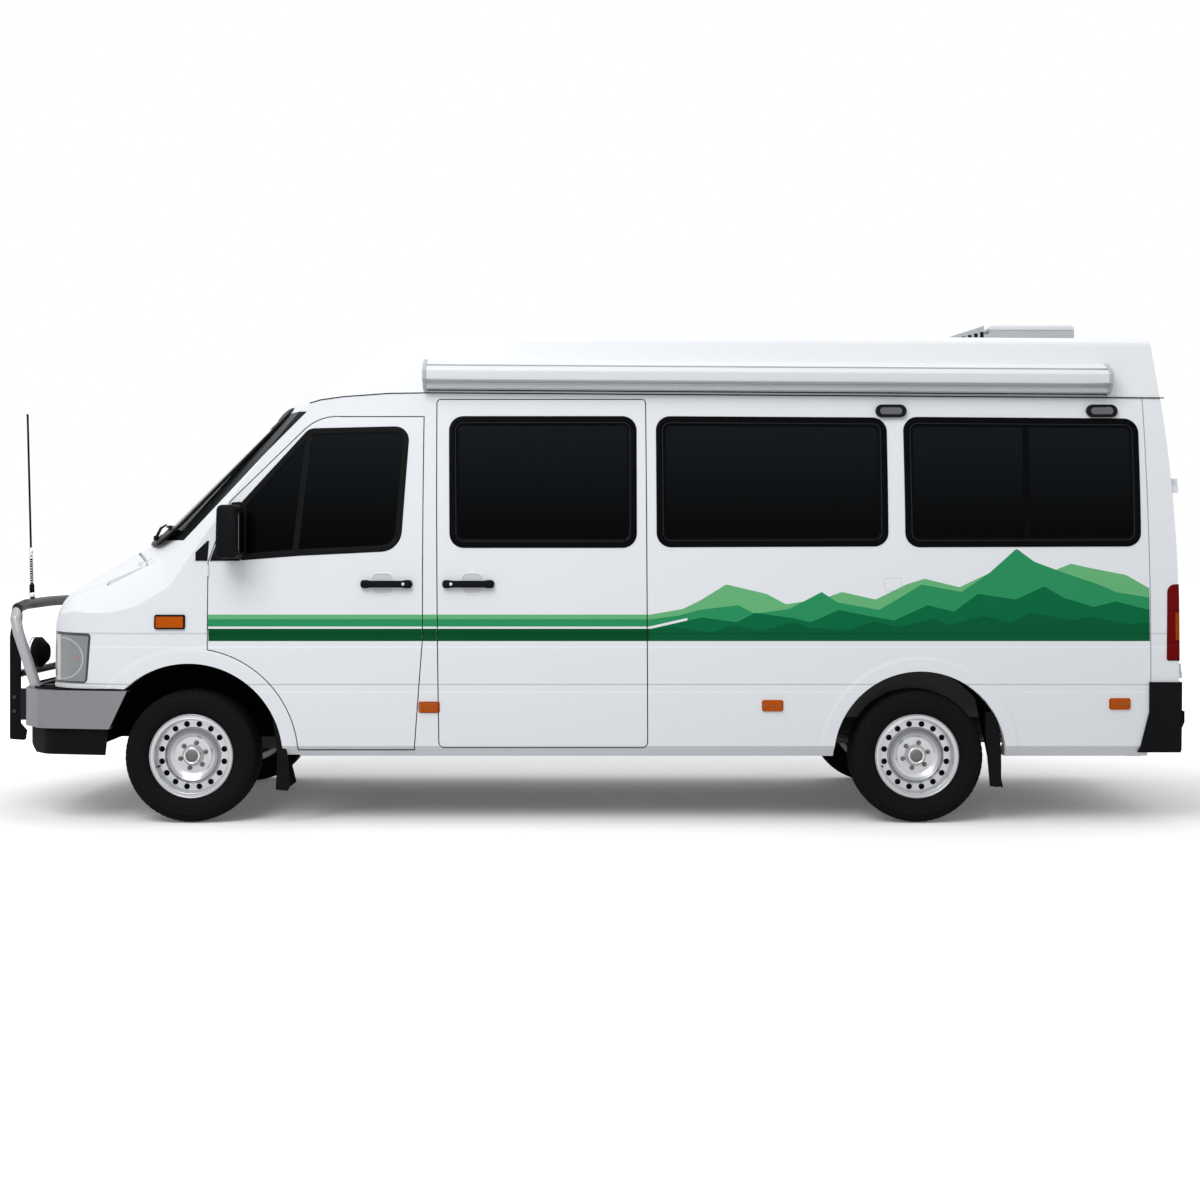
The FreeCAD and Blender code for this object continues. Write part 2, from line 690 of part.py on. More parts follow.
pieces["bonnet"] = bonnet
pieces["wing_left"] = wing
pieces["wing_right"] = mirrored(wing)
pieces["cab_frame"] = cab_frame
pieces["windscreen"] = windscreen
pieces["roof"] = roof
pieces["cab_door_left"] = cab_door
pieces["cab_door_right"] = mirrored(cab_door)
pieces["cab_glass_left"] = cab_pane
pieces["cab_glass_right"] = mirrored(cab_pane)
pieces["side_wall_left"] = side_wall_left
pieces["side_wall_right"] = side_wall_right
pieces["sliding_door"] = sliding_door
pieces["side_glass"] = Part.makeCompound(side_panes + [mirrored(shape) for shape in side_panes])
pieces["rear_frame"] = rear_frame
pieces["rear_door_left"] = rear_door
pieces["rear_door_right"] = mirrored(rear_door)
pieces["rear_glass_left"] = rear_pane
pieces["rear_glass_right"] = mirrored(rear_pane)
pieces["tail_lamps"] = Part.makeCompound([tail_lamp, mirrored(tail_lamp)])
pieces["headlamps"] = Part.makeCompound([headlamp, mirrored(headlamp)])


# Nose: grille, bumper, valance, bull bar, lamps and aerial

grille = nose_shell.common(box(-far, front_axle_x - 700.0, -lamp_inner_y + 12.5, lamp_inner_y - 12.5,
                               wing_low_z, bonnet_edge_z - seam))
grille_slots = 5
slot_high = 34.0
slot_pitch = 52.0
slot_low_z = 836.0
for row in range(grille_slots):
    low = slot_low_z + row * slot_pitch
    for start_y in (-490.0, 34.0):
        grille = grille.cut(box(-far, 0.0, start_y, start_y + 456.0, low, low + slot_high))

bumper_low_z = 525.0
bumper_high_z = 736.0
bumper_front_u = -1050.0
bumper_wall = 6.0
bumper_flange = 64.0
bumper_rear_u = -338.0
bumper_end_slant = 100.0


def bumper_plan(inset):
    """Plan outline of the front bumper, open far behind, moved inwards by the inset."""
    half = [
        (bumper_front_u + 12.0 + inset, 430.0, 200.0),
        (bumper_front_u + 76.0 + inset, 740.0 - inset * 0.5, 120.0),
        (bumper_front_u + 210.0 + inset, 900.0 - inset, 120.0),
        (bumper_rear_u - 90.0, half_width - inset, 60.0),
        (300.0, half_width - inset, 0.0),
    ]
    right = [(front_axle_x + u, y, r) for u, y, r in half]
    left = [(x, -y, r) for x, y, r in reversed(right)]
    return outline_wire(right + left + [(front_axle_x + bumper_front_u + inset, 0.0, 0)], "XY")


bumper_side = arc_wire([
    (-far, bumper_low_z),
    (front_axle_x + bumper_rear_u - bumper_end_slant, bumper_low_z),
    (front_axle_x + bumper_rear_u, bumper_high_z),
    (-far, bumper_high_z),
])
channel = prism(bumper_plan(0.0), bumper_low_z, bumper_high_z)
channel = channel.cut(prism(bumper_plan(bumper_wall),
                            bumper_low_z + bumper_wall, bumper_high_z - bumper_wall))
channel = channel.cut(prism(bumper_plan(bumper_flange), 0.0, 1000.0))
front_bumper = channel.common(prism(bumper_side, -1100.0, 1100.0))
valance_low_z = 378.0
valance_side = arc_wire([
    (front_axle_x - 1040.0, bumper_low_z - seat_gap),
    (front_axle_x - 900.0, valance_low_z),
    (front_axle_x - 470.0, valance_low_z),
    (front_axle_x - 452.0, bumper_low_z - seat_gap),
])
valance = prism(bumper_plan(30.0), valance_low_z, bumper_low_z).cut(prism(bumper_plan(44.0), 0.0, 1000.0))
front_valance = valance.common(prism(valance_side, -1100.0, 1100.0))
front_valance = front_valance.cut(box(-far, front_axle_x, -420.0, 420.0, 420.0, 480.0))

bar_radius = 30.0
bar_y = 690.0
bar_points = [
    at(front_axle_x - 930.0, -bar_y, bumper_high_z + seat_gap),
    at(front_axle_x - 1030.0, -bar_y, 1040.0),
    at(front_axle_x - 1052.0, -bar_y + 16.0, 1120.0),
    at(front_axle_x - 1060.0, -bar_y + 70.0, 1180.0),
    at(front_axle_x - 1066.0, -bar_y + 220.0, 1196.0),
    at(front_axle_x - 1072.0, 0, 1200.0),
]
half_bar = beam_path(bar_points, bar_radius)
upright_y = 600.0
cross_tube_x = front_axle_x - 1078.0
cross_tube_z = 800.0
cross_tube_radius = 22.0
upright_wire = outline_wire([
    (front_axle_x - front_overhang, 500.0, 16.0),
    (front_axle_x - front_overhang, 1040.0, 40.0),
    (front_axle_x - 1076.0, 1170.0, 10.0),
    (front_axle_x - 1040.0, 1170.0, 10.0),
    (front_axle_x + bumper_front_u - 2.0, 1000.0, 60.0),
    (front_axle_x + bumper_front_u - 2.0, 500.0, 16.0),
], "XZ")
upright = prism(upright_wire, -upright_y - 6.0, -upright_y + 6.0)
upright_lug = box(front_axle_x - 1060.0, front_axle_x - 1000.0, -upright_y - 6.0, -upright_y + 6.0,
                  540.0, 720.0)
upright = upright.fuse(upright_lug)
cross_tube = rod(at(cross_tube_x, -upright_y, cross_tube_z), at(cross_tube_x, upright_y, cross_tube_z),
                 cross_tube_radius)
bull_bar = half_bar.fuse([mirrored(half_bar), upright, mirrored(upright), cross_tube])
bumper_clear = prism(bumper_plan(-seat_gap), bumper_low_z - seat_gap, bumper_high_z + seat_gap)
bull_bar = bull_bar.cut(bumper_clear)
bull_bar = max(bull_bar.Solids, key=lambda solid: solid.Volume)

lamp_y = 380.0
lamp_z = 912.0
lamp_radius = 90.0
lamp_depth = 80.0
lamp_x = front_axle_x - 1045.0


def driving_lamp(y):
    """A round driving lamp on a short stalk above the cross tube."""
    front = Part.makeCylinder(lamp_radius, lamp_depth * 0.5, at(lamp_x, y, lamp_z), at(1, 0, 0))
    back = Part.makeCone(lamp_radius, lamp_radius * 0.55, lamp_depth * 0.5,
                         at(lamp_x + lamp_depth * 0.5, y, lamp_z), at(1, 0, 0))
    stalk = rod(at(lamp_x + 8.0, y, lamp_z - lamp_radius + 10.0), at(cross_tube_x, y, cross_tube_z), 8.0)
    clear_tube = drum(cross_tube_x, cross_tube_z, cross_tube_radius + seat_gap, y - 50.0, y + 50.0)
    return front.fuse([back, stalk.cut(clear_tube)])


driving_lamps = Part.makeCompound([driving_lamp(-lamp_y), driving_lamp(lamp_y)])
aerial_foot = at(front_axle_x - 1068.5, -350.0, 1192.0 + bar_radius)
aerial_tip = aerial_foot + at(-27.0, 0, 1088.0)
aerial_line = aerial_tip - aerial_foot
antenna = Part.makeCylinder(12.0, 70.0, aerial_foot, aerial_line)
antenna = antenna.fuse([Part.makeCylinder(8.0, 240.0, aerial_foot, aerial_line),
                        Part.makeCylinder(4.0, aerial_line.Length, aerial_foot, aerial_line)])
antenna = antenna.cut(rod(bar_points[-2], bar_points[-1], bar_radius + seat_gap))

# Small lamps, handles and mirrors

marker_wall = 12.0
porch_wall = 22.0
side_lens = side_hull(-marker_wall).cut(side_hull(-seat_gap))
porch_low_z = 2252.0
porch_high_z = 2324.0
porch_half = 86.0
porch_corner = 35.0
porch_spacing = 1176.0


def side_marker(x0, x1, z0, z1):
    """A lens seated on the left side of the body."""
    return side_lens.common(box(x0, x1, left_of, left_to, z0, z1))


seated_hull = body_hull(-seat_gap)
repeater = body_hull(-marker_wall).cut(seated_hull).common(
    box(front_axle_x - 181.0, front_axle_x - 24.0, left_of, left_to, 1082.0, 1150.0))
half_markers = [
    side_marker(slide_front_x - 94.0, slide_front_x + 6.0, 623.0, 671.0),
    side_marker(rear_axle_x - 859.0, rear_axle_x - 754.0, 628.0, 683.0),
    side_marker(rear_axle_x + 1052.0, rear_axle_x + 1158.0, 639.0, 692.0),
    repeater,
]
porch_x = rear_axle_x - 134.0
porch_oval = outline_wire([
    (porch_x - porch_half, porch_low_z, porch_corner),
    (porch_x + porch_half, porch_low_z, porch_corner),
    (porch_x + porch_half, porch_high_z, porch_corner),
    (porch_x - porch_half, porch_high_z, porch_corner),
], "XZ")
porch_lamp = prism(porch_oval, -900.0, -780.0).cut(side_hull(-seat_gap)).common(side_hull(-porch_wall))
porch_lamps = [porch_lamp, porch_lamp.translated(at(porch_spacing, 0, 0))]
side_lamps = Part.makeCompound(half_markers + [mirrored(shape) for shape in half_markers] + porch_lamps)

handle_z = 1325.0
handle_half = 20.0
handle_stand = 34.0
handle_bar = side_hull(-handle_stand).cut(side_hull(-handle_stand + 16.0))
handle_post = side_hull(-handle_stand).cut(side_hull(-seat_gap))


def grab_handle(x0, x1, foot):
    """A pull handle: a grip on two feet, seated on the door's skin."""
    grip = handle_bar.common(box(x0, x1, left_of, left_to, handle_z - handle_half, handle_z + handle_half))
    ends = box(x0, x0 + foot, left_of, left_to, handle_z - handle_half, handle_z + handle_half)
    ends = ends.fuse(box(x1 - foot, x1, left_of, left_to, handle_z - handle_half, handle_z + handle_half))
    return grip.fuse(handle_post.common(ends)).removeSplitter()


cab_handle = grab_handle(front_axle_x + 946.0, front_axle_x + 1234.0, 40.0)
slide_handle = grab_handle(front_axle_x + 1397.0, front_axle_x + 1686.0, 40.0)
mirror_x = front_axle_x + 192.0
mirror_y = half_width + 14.0
mirror_reach = 200.0
mirror_face = outline_wire([(mirror_x - 10.0, 1468.0, 24.0), (mirror_x + 128.0, 1460.0, 24.0),
                            (mirror_x + 132.0, 1750.0, 24.0), (mirror_x + 26.0, 1762.0, 24.0)], "XZ")
mirror_end = outline_wire([(mirror_x + 14.0, 1480.0, 24.0), (mirror_x + 122.0, 1472.0, 24.0),
                           (mirror_x + 126.0, 1740.0, 24.0), (mirror_x + 44.0, 1748.0, 24.0)], "XZ")
mirror_end.translate(at(0, -mirror_reach, 0))
mirror_head = Part.makeLoft([mirror_face, mirror_end], True, True)
mirror_head.translate(at(0, -mirror_y, 0))
mirror_arm = box(mirror_x - 4.0, mirror_x + 84.0, -mirror_y - 16.0, -half_width + 60.0, 1492.0, 1552.0)
mirror = mirror_head.fuse(mirror_arm.cut(side_hull(-seat_gap)))

# Awning and roof vent

awning_front_x = front_axle_x + 1286.0
awning_rear_x = rear_axle_x + 1087.0
awning_slope = 0.37
awning_profile = outline_wire([
    (-700.0, 2576.0, 0),
    (-812.0, 2576.0, 8.0),
    (-880.0, 2541.0, 20.0),
    (-906.0, 2512.0, 20.0),
    (-906.0, 2462.0, 8.0),
    (-890.0, 2446.0, 0),
    (-872.0, 2416.0, 12.0),
    (-845.0, 2406.0, 6.0),
    (-700.0, 2406.0, 0),
], "YZ")
awning = prism(awning_profile, awning_front_x, awning_rear_x)
awning.rotate(at(awning_front_x, 0, 2490.0), at(0, 1, 0), awning_slope)
awning = awning.cut(side_hull(-seat_gap))
awning = max(awning.Solids, key=lambda solid: solid.Volume)

vent_top_z = 2841.0
vent_lid_z = 2810.0
vent_base = box(vent_front_x, vent_rear_x, -vent_half, vent_half, 2600.0, vent_lid_z - 2.0).cut(vent_hole)
wedge_wire = arc_wire([
    (vent_front_x - 232.0, 2600.0),
    (vent_front_x, 2600.0),
    (vent_front_x, 2785.0),
    (vent_front_x - 31.0, 2785.0),
    (vent_front_x - 31.0, 2835.0),
    (vent_front_x - 232.0, 2770.0),
])
roof_vent = vent_base.fuse(prism(wedge_wire, -vent_half, vent_half)).removeSplitter().cut(seated_hull)
vent_skin = box(vent_front_x, vent_rear_x, -vent_half, vent_half, vent_lid_z, vent_top_z)
top_edges = [edge for edge in vent_skin.Edges if edge.BoundBox.ZMin > vent_top_z - 1]
vent_skin = vent_skin.makeFillet(22.0, top_edges)
vent_inside = box(vent_front_x + 12.0, vent_rear_x - 12.0, 12.0 - vent_half, vent_half - 12.0,
                  vent_lid_z, vent_top_z - 12.0)
roof_vent_lid = vent_skin.cut(vent_inside)
vent_axis = at(vent_front_x - 6.0, 0, vent_lid_z + 2.0)
for start_y in (-170.0, 130.0):
    ear = box(vent_front_x - 6.0, vent_front_x + 1.0, start_y + 22.0, start_y + 40.0,
              vent_lid_z - 2.0, vent_lid_z + 6.0)
    foot = box(vent_front_x - 10.0, vent_front_x, start_y, start_y + 18.0, 2780.0, vent_lid_z + 1.0)
    roof_vent_lid = roof_vent_lid.fuse(ear)
    roof_vent = roof_vent.fuse(foot)
    start = vent_axis + at(0, start_y, 0)
    roof_vent, roof_vent_lid = knuckles(roof_vent, roof_vent_lid, start, at(0, 1, 0), 40.0, 5.0)

# Rear bumper

rear_bumper_low = 396.0
rear_step_z = 620.0
bumper_corner_top = 786.0
step_wall = 8.0
bumper_corner_wall = 14.0
corner_front_x = quarter_seam_x - 10.0
corner_side = arc_wire([
    (corner_front_x, bumper_corner_top),
    (corner_front_x + 400.0, bumper_corner_top),
    (corner_front_x + 400.0, rear_bumper_low),
    (corner_front_x - 54.0, rear_bumper_low),
    (corner_front_x, rear_step_z),
])
corner = body_hull(-bumper_corner_wall).cut(seated_hull).common(
    prism(corner_side, left_of, -(half_side(900.0) - door_edge_inset + 12.0)))
step_back_x = total_length / 2
step_front_x = quarter_seam_x + 90.0
step_half = 905.0
step_face_low = rear_step_z - 60.0
step_slant = 50.0


def step_outline(inset, low):
    """Side outline of the step bumper, its back face leaning in below."""
    return arc_wire([
        (step_front_x - inset, rear_step_z - inset),
        (step_back_x - inset, rear_step_z - inset),
        (step_back_x - inset, step_face_low),
        (step_back_x - step_slant - inset, low),
        (step_front_x - inset, low),
    ])


step = prism(step_outline(0.0, rear_floor_z), -step_half, step_half)
step_inside = prism(step_outline(step_wall, rear_floor_z), step_wall - step_half, step_half - step_wall)
step = step.cut(step_inside)
step_room = box(step_front_x - seat_gap, far, -step_half - seat_gap, step_half + seat_gap,
                rear_floor_z - 10.0, rear_step_z + seat_gap)
rear_frame = rear_frame.cut(step_room)
corner = corner.cut(step)
rear_bumper = step.fuse([corner, mirrored(corner)])

# Floor, firewall and chassis

floor_z = 560.0
floor_wall = 34.0
firewall_u = -130.0
firewall_wall = 20.0
firewall_top = 1380.0
well_inner_y = 466.0
rear_well_y = 640.0
floor = box(front_axle_x + firewall_u, quarter_seam_x + 80.0, -1000.0, 1000.0,
            floor_z, floor_z + floor_wall)
firewall = box(front_axle_x + firewall_u - firewall_wall, front_axle_x + firewall_u, -1000.0, 1000.0,
               floor_z, firewall_top)
floor = floor.fuse(firewall).removeSplitter().common(room_hull)
front_well = drum(front_axle_x, axle_z, front_arch_radius, -1100.0, -well_inner_y)
rear_well_x = rear_axle_x + 8.0
rear_well = drum(rear_well_x, axle_z, rear_arch_radius, -1100.0, -rear_well_y)
well_shell = drum(rear_well_x, axle_z, rear_arch_radius + liner_wall, -1100.0, liner_wall - rear_well_y)
well_shell = well_shell.common(room_hull).common(box(0, far, -1100.0, 0, floor_z, 3000.0))
floor = floor.fuse([well_shell, mirrored(well_shell)])
floor = floor.cut(rear_well.fuse(mirrored(rear_well))).cut(front_well.fuse(mirrored(front_well)))

liner = drum(front_axle_x, axle_z, front_arch_radius - seat_gap, -880.0, -well_inner_y - seat_gap)
liner = liner.cut(drum(front_axle_x, axle_z, front_arch_radius - liner_wall,
                       -1100.0, -well_inner_y - liner_wall))
liner = liner.common(box(-far, 0, -1100.0, 0, 430.0, 1500.0))
arm_window = box(front_axle_x - 180.0, front_axle_x + 180.0, -well_inner_y - 30.0, 0, 400.0, 600.0)
liner = liner.cut(arm_window)

rail_inner_y = 396.0
rail_outer_y = 456.0
rail_wall = 5.0
rail_low = 440.0
rail_high = floor_z - seat_gap
rail_front_x = front_axle_x + bumper_front_u + bumper_flange + 24.0
rail_rear_x = rear_axle_x + tail_v - 60.0
eye_z = 338.0
eye_radius = 15.0
jack_front_u = 1600.0
jack_rear_v = -900.0
jack_pad_depth = 14.0
rail = box(rail_front_x, rail_rear_x, -rail_outer_y, -rail_inner_y, rail_low, rail_high)
rail = rail.cut(box(rail_front_x, rail_rear_x, rail_wall - rail_outer_y, -rail_inner_y - rail_wall,
                    rail_low + rail_wall, rail_high - rail_wall))
cross_low = 490.0
cross_high = 540.0
cross_places = [front_axle_x - 920.0, front_axle_x + 900.0, front_axle_x + 2000.0, rear_axle_x - 500.0,
                rear_axle_x + 620.0, rail_rear_x - 60.0]
chassis_frame = rail.fuse(mirrored(rail))
for x in cross_places:
    member = box(x, x + 60.0, -rail_inner_y - 1.0, rail_inner_y + 1.0, cross_low, cross_high)
    chassis_frame = chassis_frame.fuse(member)
horn = box(front_axle_x + bumper_front_u, rail_front_x + 60.0, -rail_outer_y, -rail_inner_y,
           bumper_low_z + bumper_wall + seat_gap, bumper_high_z - bumper_wall - seat_gap)
horn = horn.common(prism(bumper_plan(bumper_wall + 2.0), 0.0, 1000.0))
chassis_frame = chassis_frame.fuse([horn, mirrored(horn)])
jack_pads = []
for x in (front_axle_x + jack_front_u, rear_axle_x + jack_rear_v):
    pad = box(x - 35.0, x + 35.0, -rail_outer_y - 4.0, 4.0 - rail_inner_y,
              rail_low - jack_pad_depth, rail_low + 1.0)
    jack_pads += [pad, mirrored(pad)]
chassis_frame = chassis_frame.fuse(jack_pads)
eye_plate = box(rail_rear_x - 90.0, rail_rear_x - 10.0, -rail_outer_y + 23.0, -rail_outer_y + 37.0,
                eye_z - 27.0, rail_low + 1.0)
eye_plate = eye_plate.cut(drum(rail_rear_x - 50.0, eye_z, eye_radius, -rail_outer_y, -rail_inner_y))
chassis_frame = chassis_frame.fuse([eye_plate, mirrored(eye_plate)])
tail_horn = box(rail_rear_x - 9.0, step_back_x - step_wall - seat_gap, -rail_outer_y, -rail_inner_y,
                rail_low + 60.0, rear_step_z - step_wall - seat_gap)
tail_horn = tail_horn.common(prism(step_outline(step_wall + seat_gap, rear_floor_z), -step_half, step_half))
chassis_frame = chassis_frame.fuse([tail_horn, mirrored(tail_horn)])

# Wheels


def ring(points):
    """A body of revolution about the wheel's axis from (offset, radius) points."""
    corners = [at(0, y, r) for y, r in points]
    wire = Part.makePolygon(corners + [corners[0]])
    return Part.Face(wire).revolve(at(0, 0, 0), at(0, 1, 0), 360)


half_tyre = tyre_width / 2
half_rim = rim_width / 2
bead_half = half_rim - 16.0
tyre_shape = ring([
    (-bead_half, bead_radius + seat_gap),
    (-half_tyre, 296.0),
    (-half_tyre + 30.0, tyre_radius),
    (half_tyre - 30.0, tyre_radius),
    (half_tyre, 296.0),
    (bead_half, bead_radius + seat_gap),
])
rim_shape = ring([
    (-half_rim, rim_radius),
    (6.0 - half_rim, rim_radius),
    (6.0 - half_rim, bead_radius),
    (half_rim - 6.0, bead_radius),
    (half_rim - 6.0, rim_radius),
    (half_rim, rim_radius),
    (half_rim, barrel_radius),
    (-half_rim, barrel_radius),
])
hub_bore = stub_radius + running_gap
band_y = -38.0
disc_wall = 8.0
wheel_disc = ring([
    (band_y, barrel_radius + 1.0),
    (band_y, wheel_ring_radius + 12.0),
    (band_y - 18.0, wheel_ring_radius - 6.0),
    (band_y, wheel_face_radius),
    (band_y, wheel_cap_radius),
    (band_y - 34.0, wheel_cap_radius),
    (band_y - 34.0, 0.0),
    (band_y - 20.0, 0.0),
    (band_y - 20.0, hub_bore),
    (hub_depth, hub_bore),
    (hub_depth, hub_bore + 12.0),
    (band_y + disc_wall, hub_bore + 12.0),
    (band_y + disc_wall, barrel_radius + 1.0),
])
left_rim = rim_shape.fuse(wheel_disc)
for k in range(vent_holes):
    turn = 2 * math.pi * (k + 0.5) / vent_holes
    place = at(vent_hole_circle * math.cos(turn), -100.0, vent_hole_circle * math.sin(turn))
    left_rim = left_rim.cut(Part.makeCylinder(vent_hole_radius, 120.0, place, at(0, 1, 0)))
left_rim.translate(at(0, -wheel_y, axle_z))
left_tyre = tyre_shape.translated(at(0, -wheel_y, axle_z))
for place, x in (("front", front_axle_x), ("rear", rear_axle_x)):
    pieces["rim_" + place + "_left"] = left_rim.translated(at(x, 0, 0))
    pieces["rim_" + place + "_right"] = mirrored(left_rim.translated(at(x, 0, 0)))
    pieces["tyre_" + place + "_left"] = left_tyre.translated(at(x, 0, 0))
    pieces["tyre_" + place + "_right"] = mirrored(left_tyre.translated(at(x, 0, 0)))

# Knuckles and axles

stub_end = wheel_y + 58.0
disc_radius = 140.0
disc_outer_y = wheel_y - 28.0
disc_inner_y = wheel_y - 52.0
arm_wall = 24.0
post_radius = 22.0

post = Part.makeCylinder(post_radius, 2 * joint_half_height, at(0, -kingpin_y, axle_z - joint_half_height))
stub = drum(0, axle_z, stub_radius, -stub_end, -kingpin_y)
brake_disc = drum(0, axle_z, disc_radius, -disc_outer_y, -disc_inner_y)
knuckle = post.fuse([stub, brake_disc]).translated(at(front_axle_x, 0, 0))


def wishbone(low, reach):
    """A suspension arm from the frame out to the ball joint, wide at the frame."""
    plan = outline_wire([
        (30.0, -kingpin_y - 26.0, 20.0),
        (-30.0, -kingpin_y - 26.0, 20.0),
        (-30.0, -600.0, 60.0),
        (-reach, -330.0, 30.0),
        (reach, -330.0, 30.0),
        (30.0, -600.0, 60.0),
    ], "XY")
    return prism(plan, low, low + arm_wall).translated(at(front_axle_x, 0, 0))


lower_arm_top = axle_z - joint_half_height - seat_gap
upper_arm_low = axle_z + joint_half_height + seat_gap
beam_top = 318.0
lower_arm = wishbone(lower_arm_top - arm_wall, 150.0)
upper_arm = wishbone(upper_arm_low, 90.0).cut(box(-far, 0, -rail_outer_y - seat_gap, 0, 400.0, 700.0))
cross_beam = box(front_axle_x - 80.0, front_axle_x + 80.0, -380.0, 380.0,
                 lower_arm_top - arm_wall, beam_top)
tower = box(front_axle_x - 60.0, front_axle_x + 60.0, -380.0, -330.0, lower_arm_top, rail_low - seat_gap)
damper = rod(at(front_axle_x, -600.0, lower_arm_top - 6.0),
             at(front_axle_x, -530.0, upper_arm_low + 12.0), 24.0)
hanger = box(front_axle_x - 40.0, front_axle_x + 40.0, -rail_outer_y - 8.0, -340.0,
             rail_low - 40.0, rail_low - seat_gap)
rail_plate = box(front_axle_x - 40.0, front_axle_x + 40.0, -rail_outer_y - 8.0, -rail_outer_y - seat_gap,
                 rail_low - 40.0, upper_arm_low + arm_wall)
half_front = lower_arm.fuse([upper_arm, tower, damper, hanger, rail_plate])
front_axle = cross_beam.fuse([half_front, mirrored(half_front)])

spring_y = 560.0
spring_half = 35.0
spring_wall = 10.0
spring_reach = 640.0
spring_rise = 66.0
beam_radius = 44.0
leaf_seat_z = axle_z + beam_radius


def leaf(reach, z, rise):
    """One curved leaf of the left rear spring."""
    wire = arc_wire([
        (rear_axle_x - reach, z + rise),
        (rear_axle_x + reach, z + rise, rear_axle_x, z),
        (rear_axle_x + reach, z + rise + spring_wall),
        (rear_axle_x - reach, z + rise + spring_wall, rear_axle_x, z + spring_wall),
    ])
    return prism(wire, -spring_y - spring_half, spring_half - spring_y)


rear_beam = drum(rear_axle_x, axle_z, beam_radius, -disc_inner_y - 10.0, disc_inner_y + 10.0)
differential = drum(rear_axle_x, axle_z, 120.0, -60.0, 80.0).fuse(
    rod(at(rear_axle_x, 10.0, axle_z), at(rear_axle_x - 210.0, 10.0, axle_z), 58.0))
rear_stub = drum(rear_axle_x, axle_z, stub_radius, -stub_end, -disc_inner_y)
rear_brake = drum(rear_axle_x, axle_z, disc_radius, -disc_outer_y, -disc_outer_y + 60.0)
spring_block = box(rear_axle_x - 60.0, rear_axle_x + 60.0, -spring_y - 40.0, 40.0 - spring_y,
                   axle_z, leaf_seat_z + 24.0)
second_reach = 430.0
second_rise = spring_rise * (second_reach / spring_reach) ** 2
spring_parts = [
    leaf(spring_reach, leaf_seat_z + spring_wall, spring_rise),
    leaf(second_reach, leaf_seat_z, second_rise),
]
for x in (rear_axle_x - spring_reach, rear_axle_x + spring_reach):
    spring_eye_z = leaf_seat_z + spring_wall + spring_rise
    spring_parts.append(drum(x, spring_eye_z, 22.0, -spring_y - spring_half, -rail_outer_y - seat_gap))
half_rear = rear_stub.fuse([rear_brake, spring_block] + spring_parts)
rear_axle = rear_beam.fuse([differential, half_rear, mirrored(half_rear)])

# Engine, driveline, exhaust and tank

engine_front_x = front_axle_x - 700.0
engine_rear_x = front_axle_x - 170.0
engine = box(engine_front_x, engine_rear_x, -290.0, 290.0, 420.0, 1130.0)
engine = engine.fuse(box(engine_front_x + 200.0, engine_front_x + 280.0, seat_gap - rail_inner_y,
                         rail_inner_y - seat_gap, 470.0, 530.0))
gearbox_low = beam_top + seat_gap
gearbox_top = 482.0
gearbox_end = engine_rear_x + 620.0
gearbox = box(engine_rear_x + seat_gap, gearbox_end, -130.0, 130.0, gearbox_low, gearbox_top)
prop_start = at(gearbox_end - 10.0, 0, 420.0)
prop_end = at(rear_axle_x - 214.0, 10.0, axle_z)
driveline = gearbox.fuse(rod(prop_start, prop_end, 36.0))
powertrain = Part.makeCompound([engine, driveline])

pipe_radius = 24.0
pipe_y = -300.0
pipe_points = [
    at(front_axle_x + 300.0, -133.0, 400.0),
    at(front_axle_x + 520.0, pipe_y, 400.0),
    at(rear_axle_x - 400.0, pipe_y, 400.0),
    at(rear_axle_x - 160.0, pipe_y, 456.0),
    at(rear_axle_x + 160.0, pipe_y, 456.0),
    at(rear_axle_x + 400.0, pipe_y, 400.0),
    at(rear_axle_x + 1340.0, pipe_y, 390.0),
]
exhaust = beam_path(pipe_points, pipe_radius)
silencer = Part.makeCylinder(85.0, 620.0, at(front_axle_x + 1100.0, pipe_y, 390.0), at(1, 0, 0))
exhaust = exhaust.fuse(silencer)
for x in (cross_places[1] + 30.0, cross_places[2] + 30.0, cross_places[4] + 30.0):
    exhaust = exhaust.fuse(rod(at(x, pipe_y, 396.0), at(x, pipe_y, cross_low - seat_gap), 6.0))
exhaust = exhaust.cut(gearbox)

tank = box(front_axle_x + 1100.0, front_axle_x + 2000.0, rail_outer_y + 10.0, 820.0,
           330.0, floor_z - seat_gap)
tank = tank.makeFillet(40.0, [edge for edge in tank.Edges if edge.BoundBox.ZMax < 331.0])

# Mud flaps

flap_wall = 6.0
flap_half = 115.0
flap_y = -815.0


def mud_flap(x, points, reach):
    """A leaning flap behind a wheel, from (u, z) at its top and foot, seated in the arch above it."""
    (top_u, top_z), (low_u, low_z) = points
    wire = arc_wire([
        (x + top_u, top_z),
        (x + top_u + flap_wall, top_z),
        (x + low_u + flap_wall, low_z),
        (x + low_u, low_z),
    ])
    flap = prism(wire, flap_y - flap_half, flap_y + flap_half)
    arch = drum(x, axle_z, reach - seat_gap, -1100.0, 0.0)
    below = box(-far, far, -1100.0, 0.0, 0.0, sill_z - 4.0)
    return flap.common(arch.fuse(below))


front_flap = mud_flap(front_axle_x, ((426.0, 670.0), (542.0, 200.0)), front_arch_radius - liner_wall)
rear_flap = mud_flap(rear_well_x, ((352.0, 710.0), (457.0, 200.0)), rear_arch_radius)
half_liners = [liner, front_flap, rear_flap]
wheel_liners = Part.makeCompound(half_liners + [mirrored(shape) for shape in half_liners])

# Cab fittings: seats, dashboard with steering wheel, and the living space

cab_floor_top = floor_z + floor_wall
seat_back_x = front_axle_x + 1130.0
seat_y = 430.0


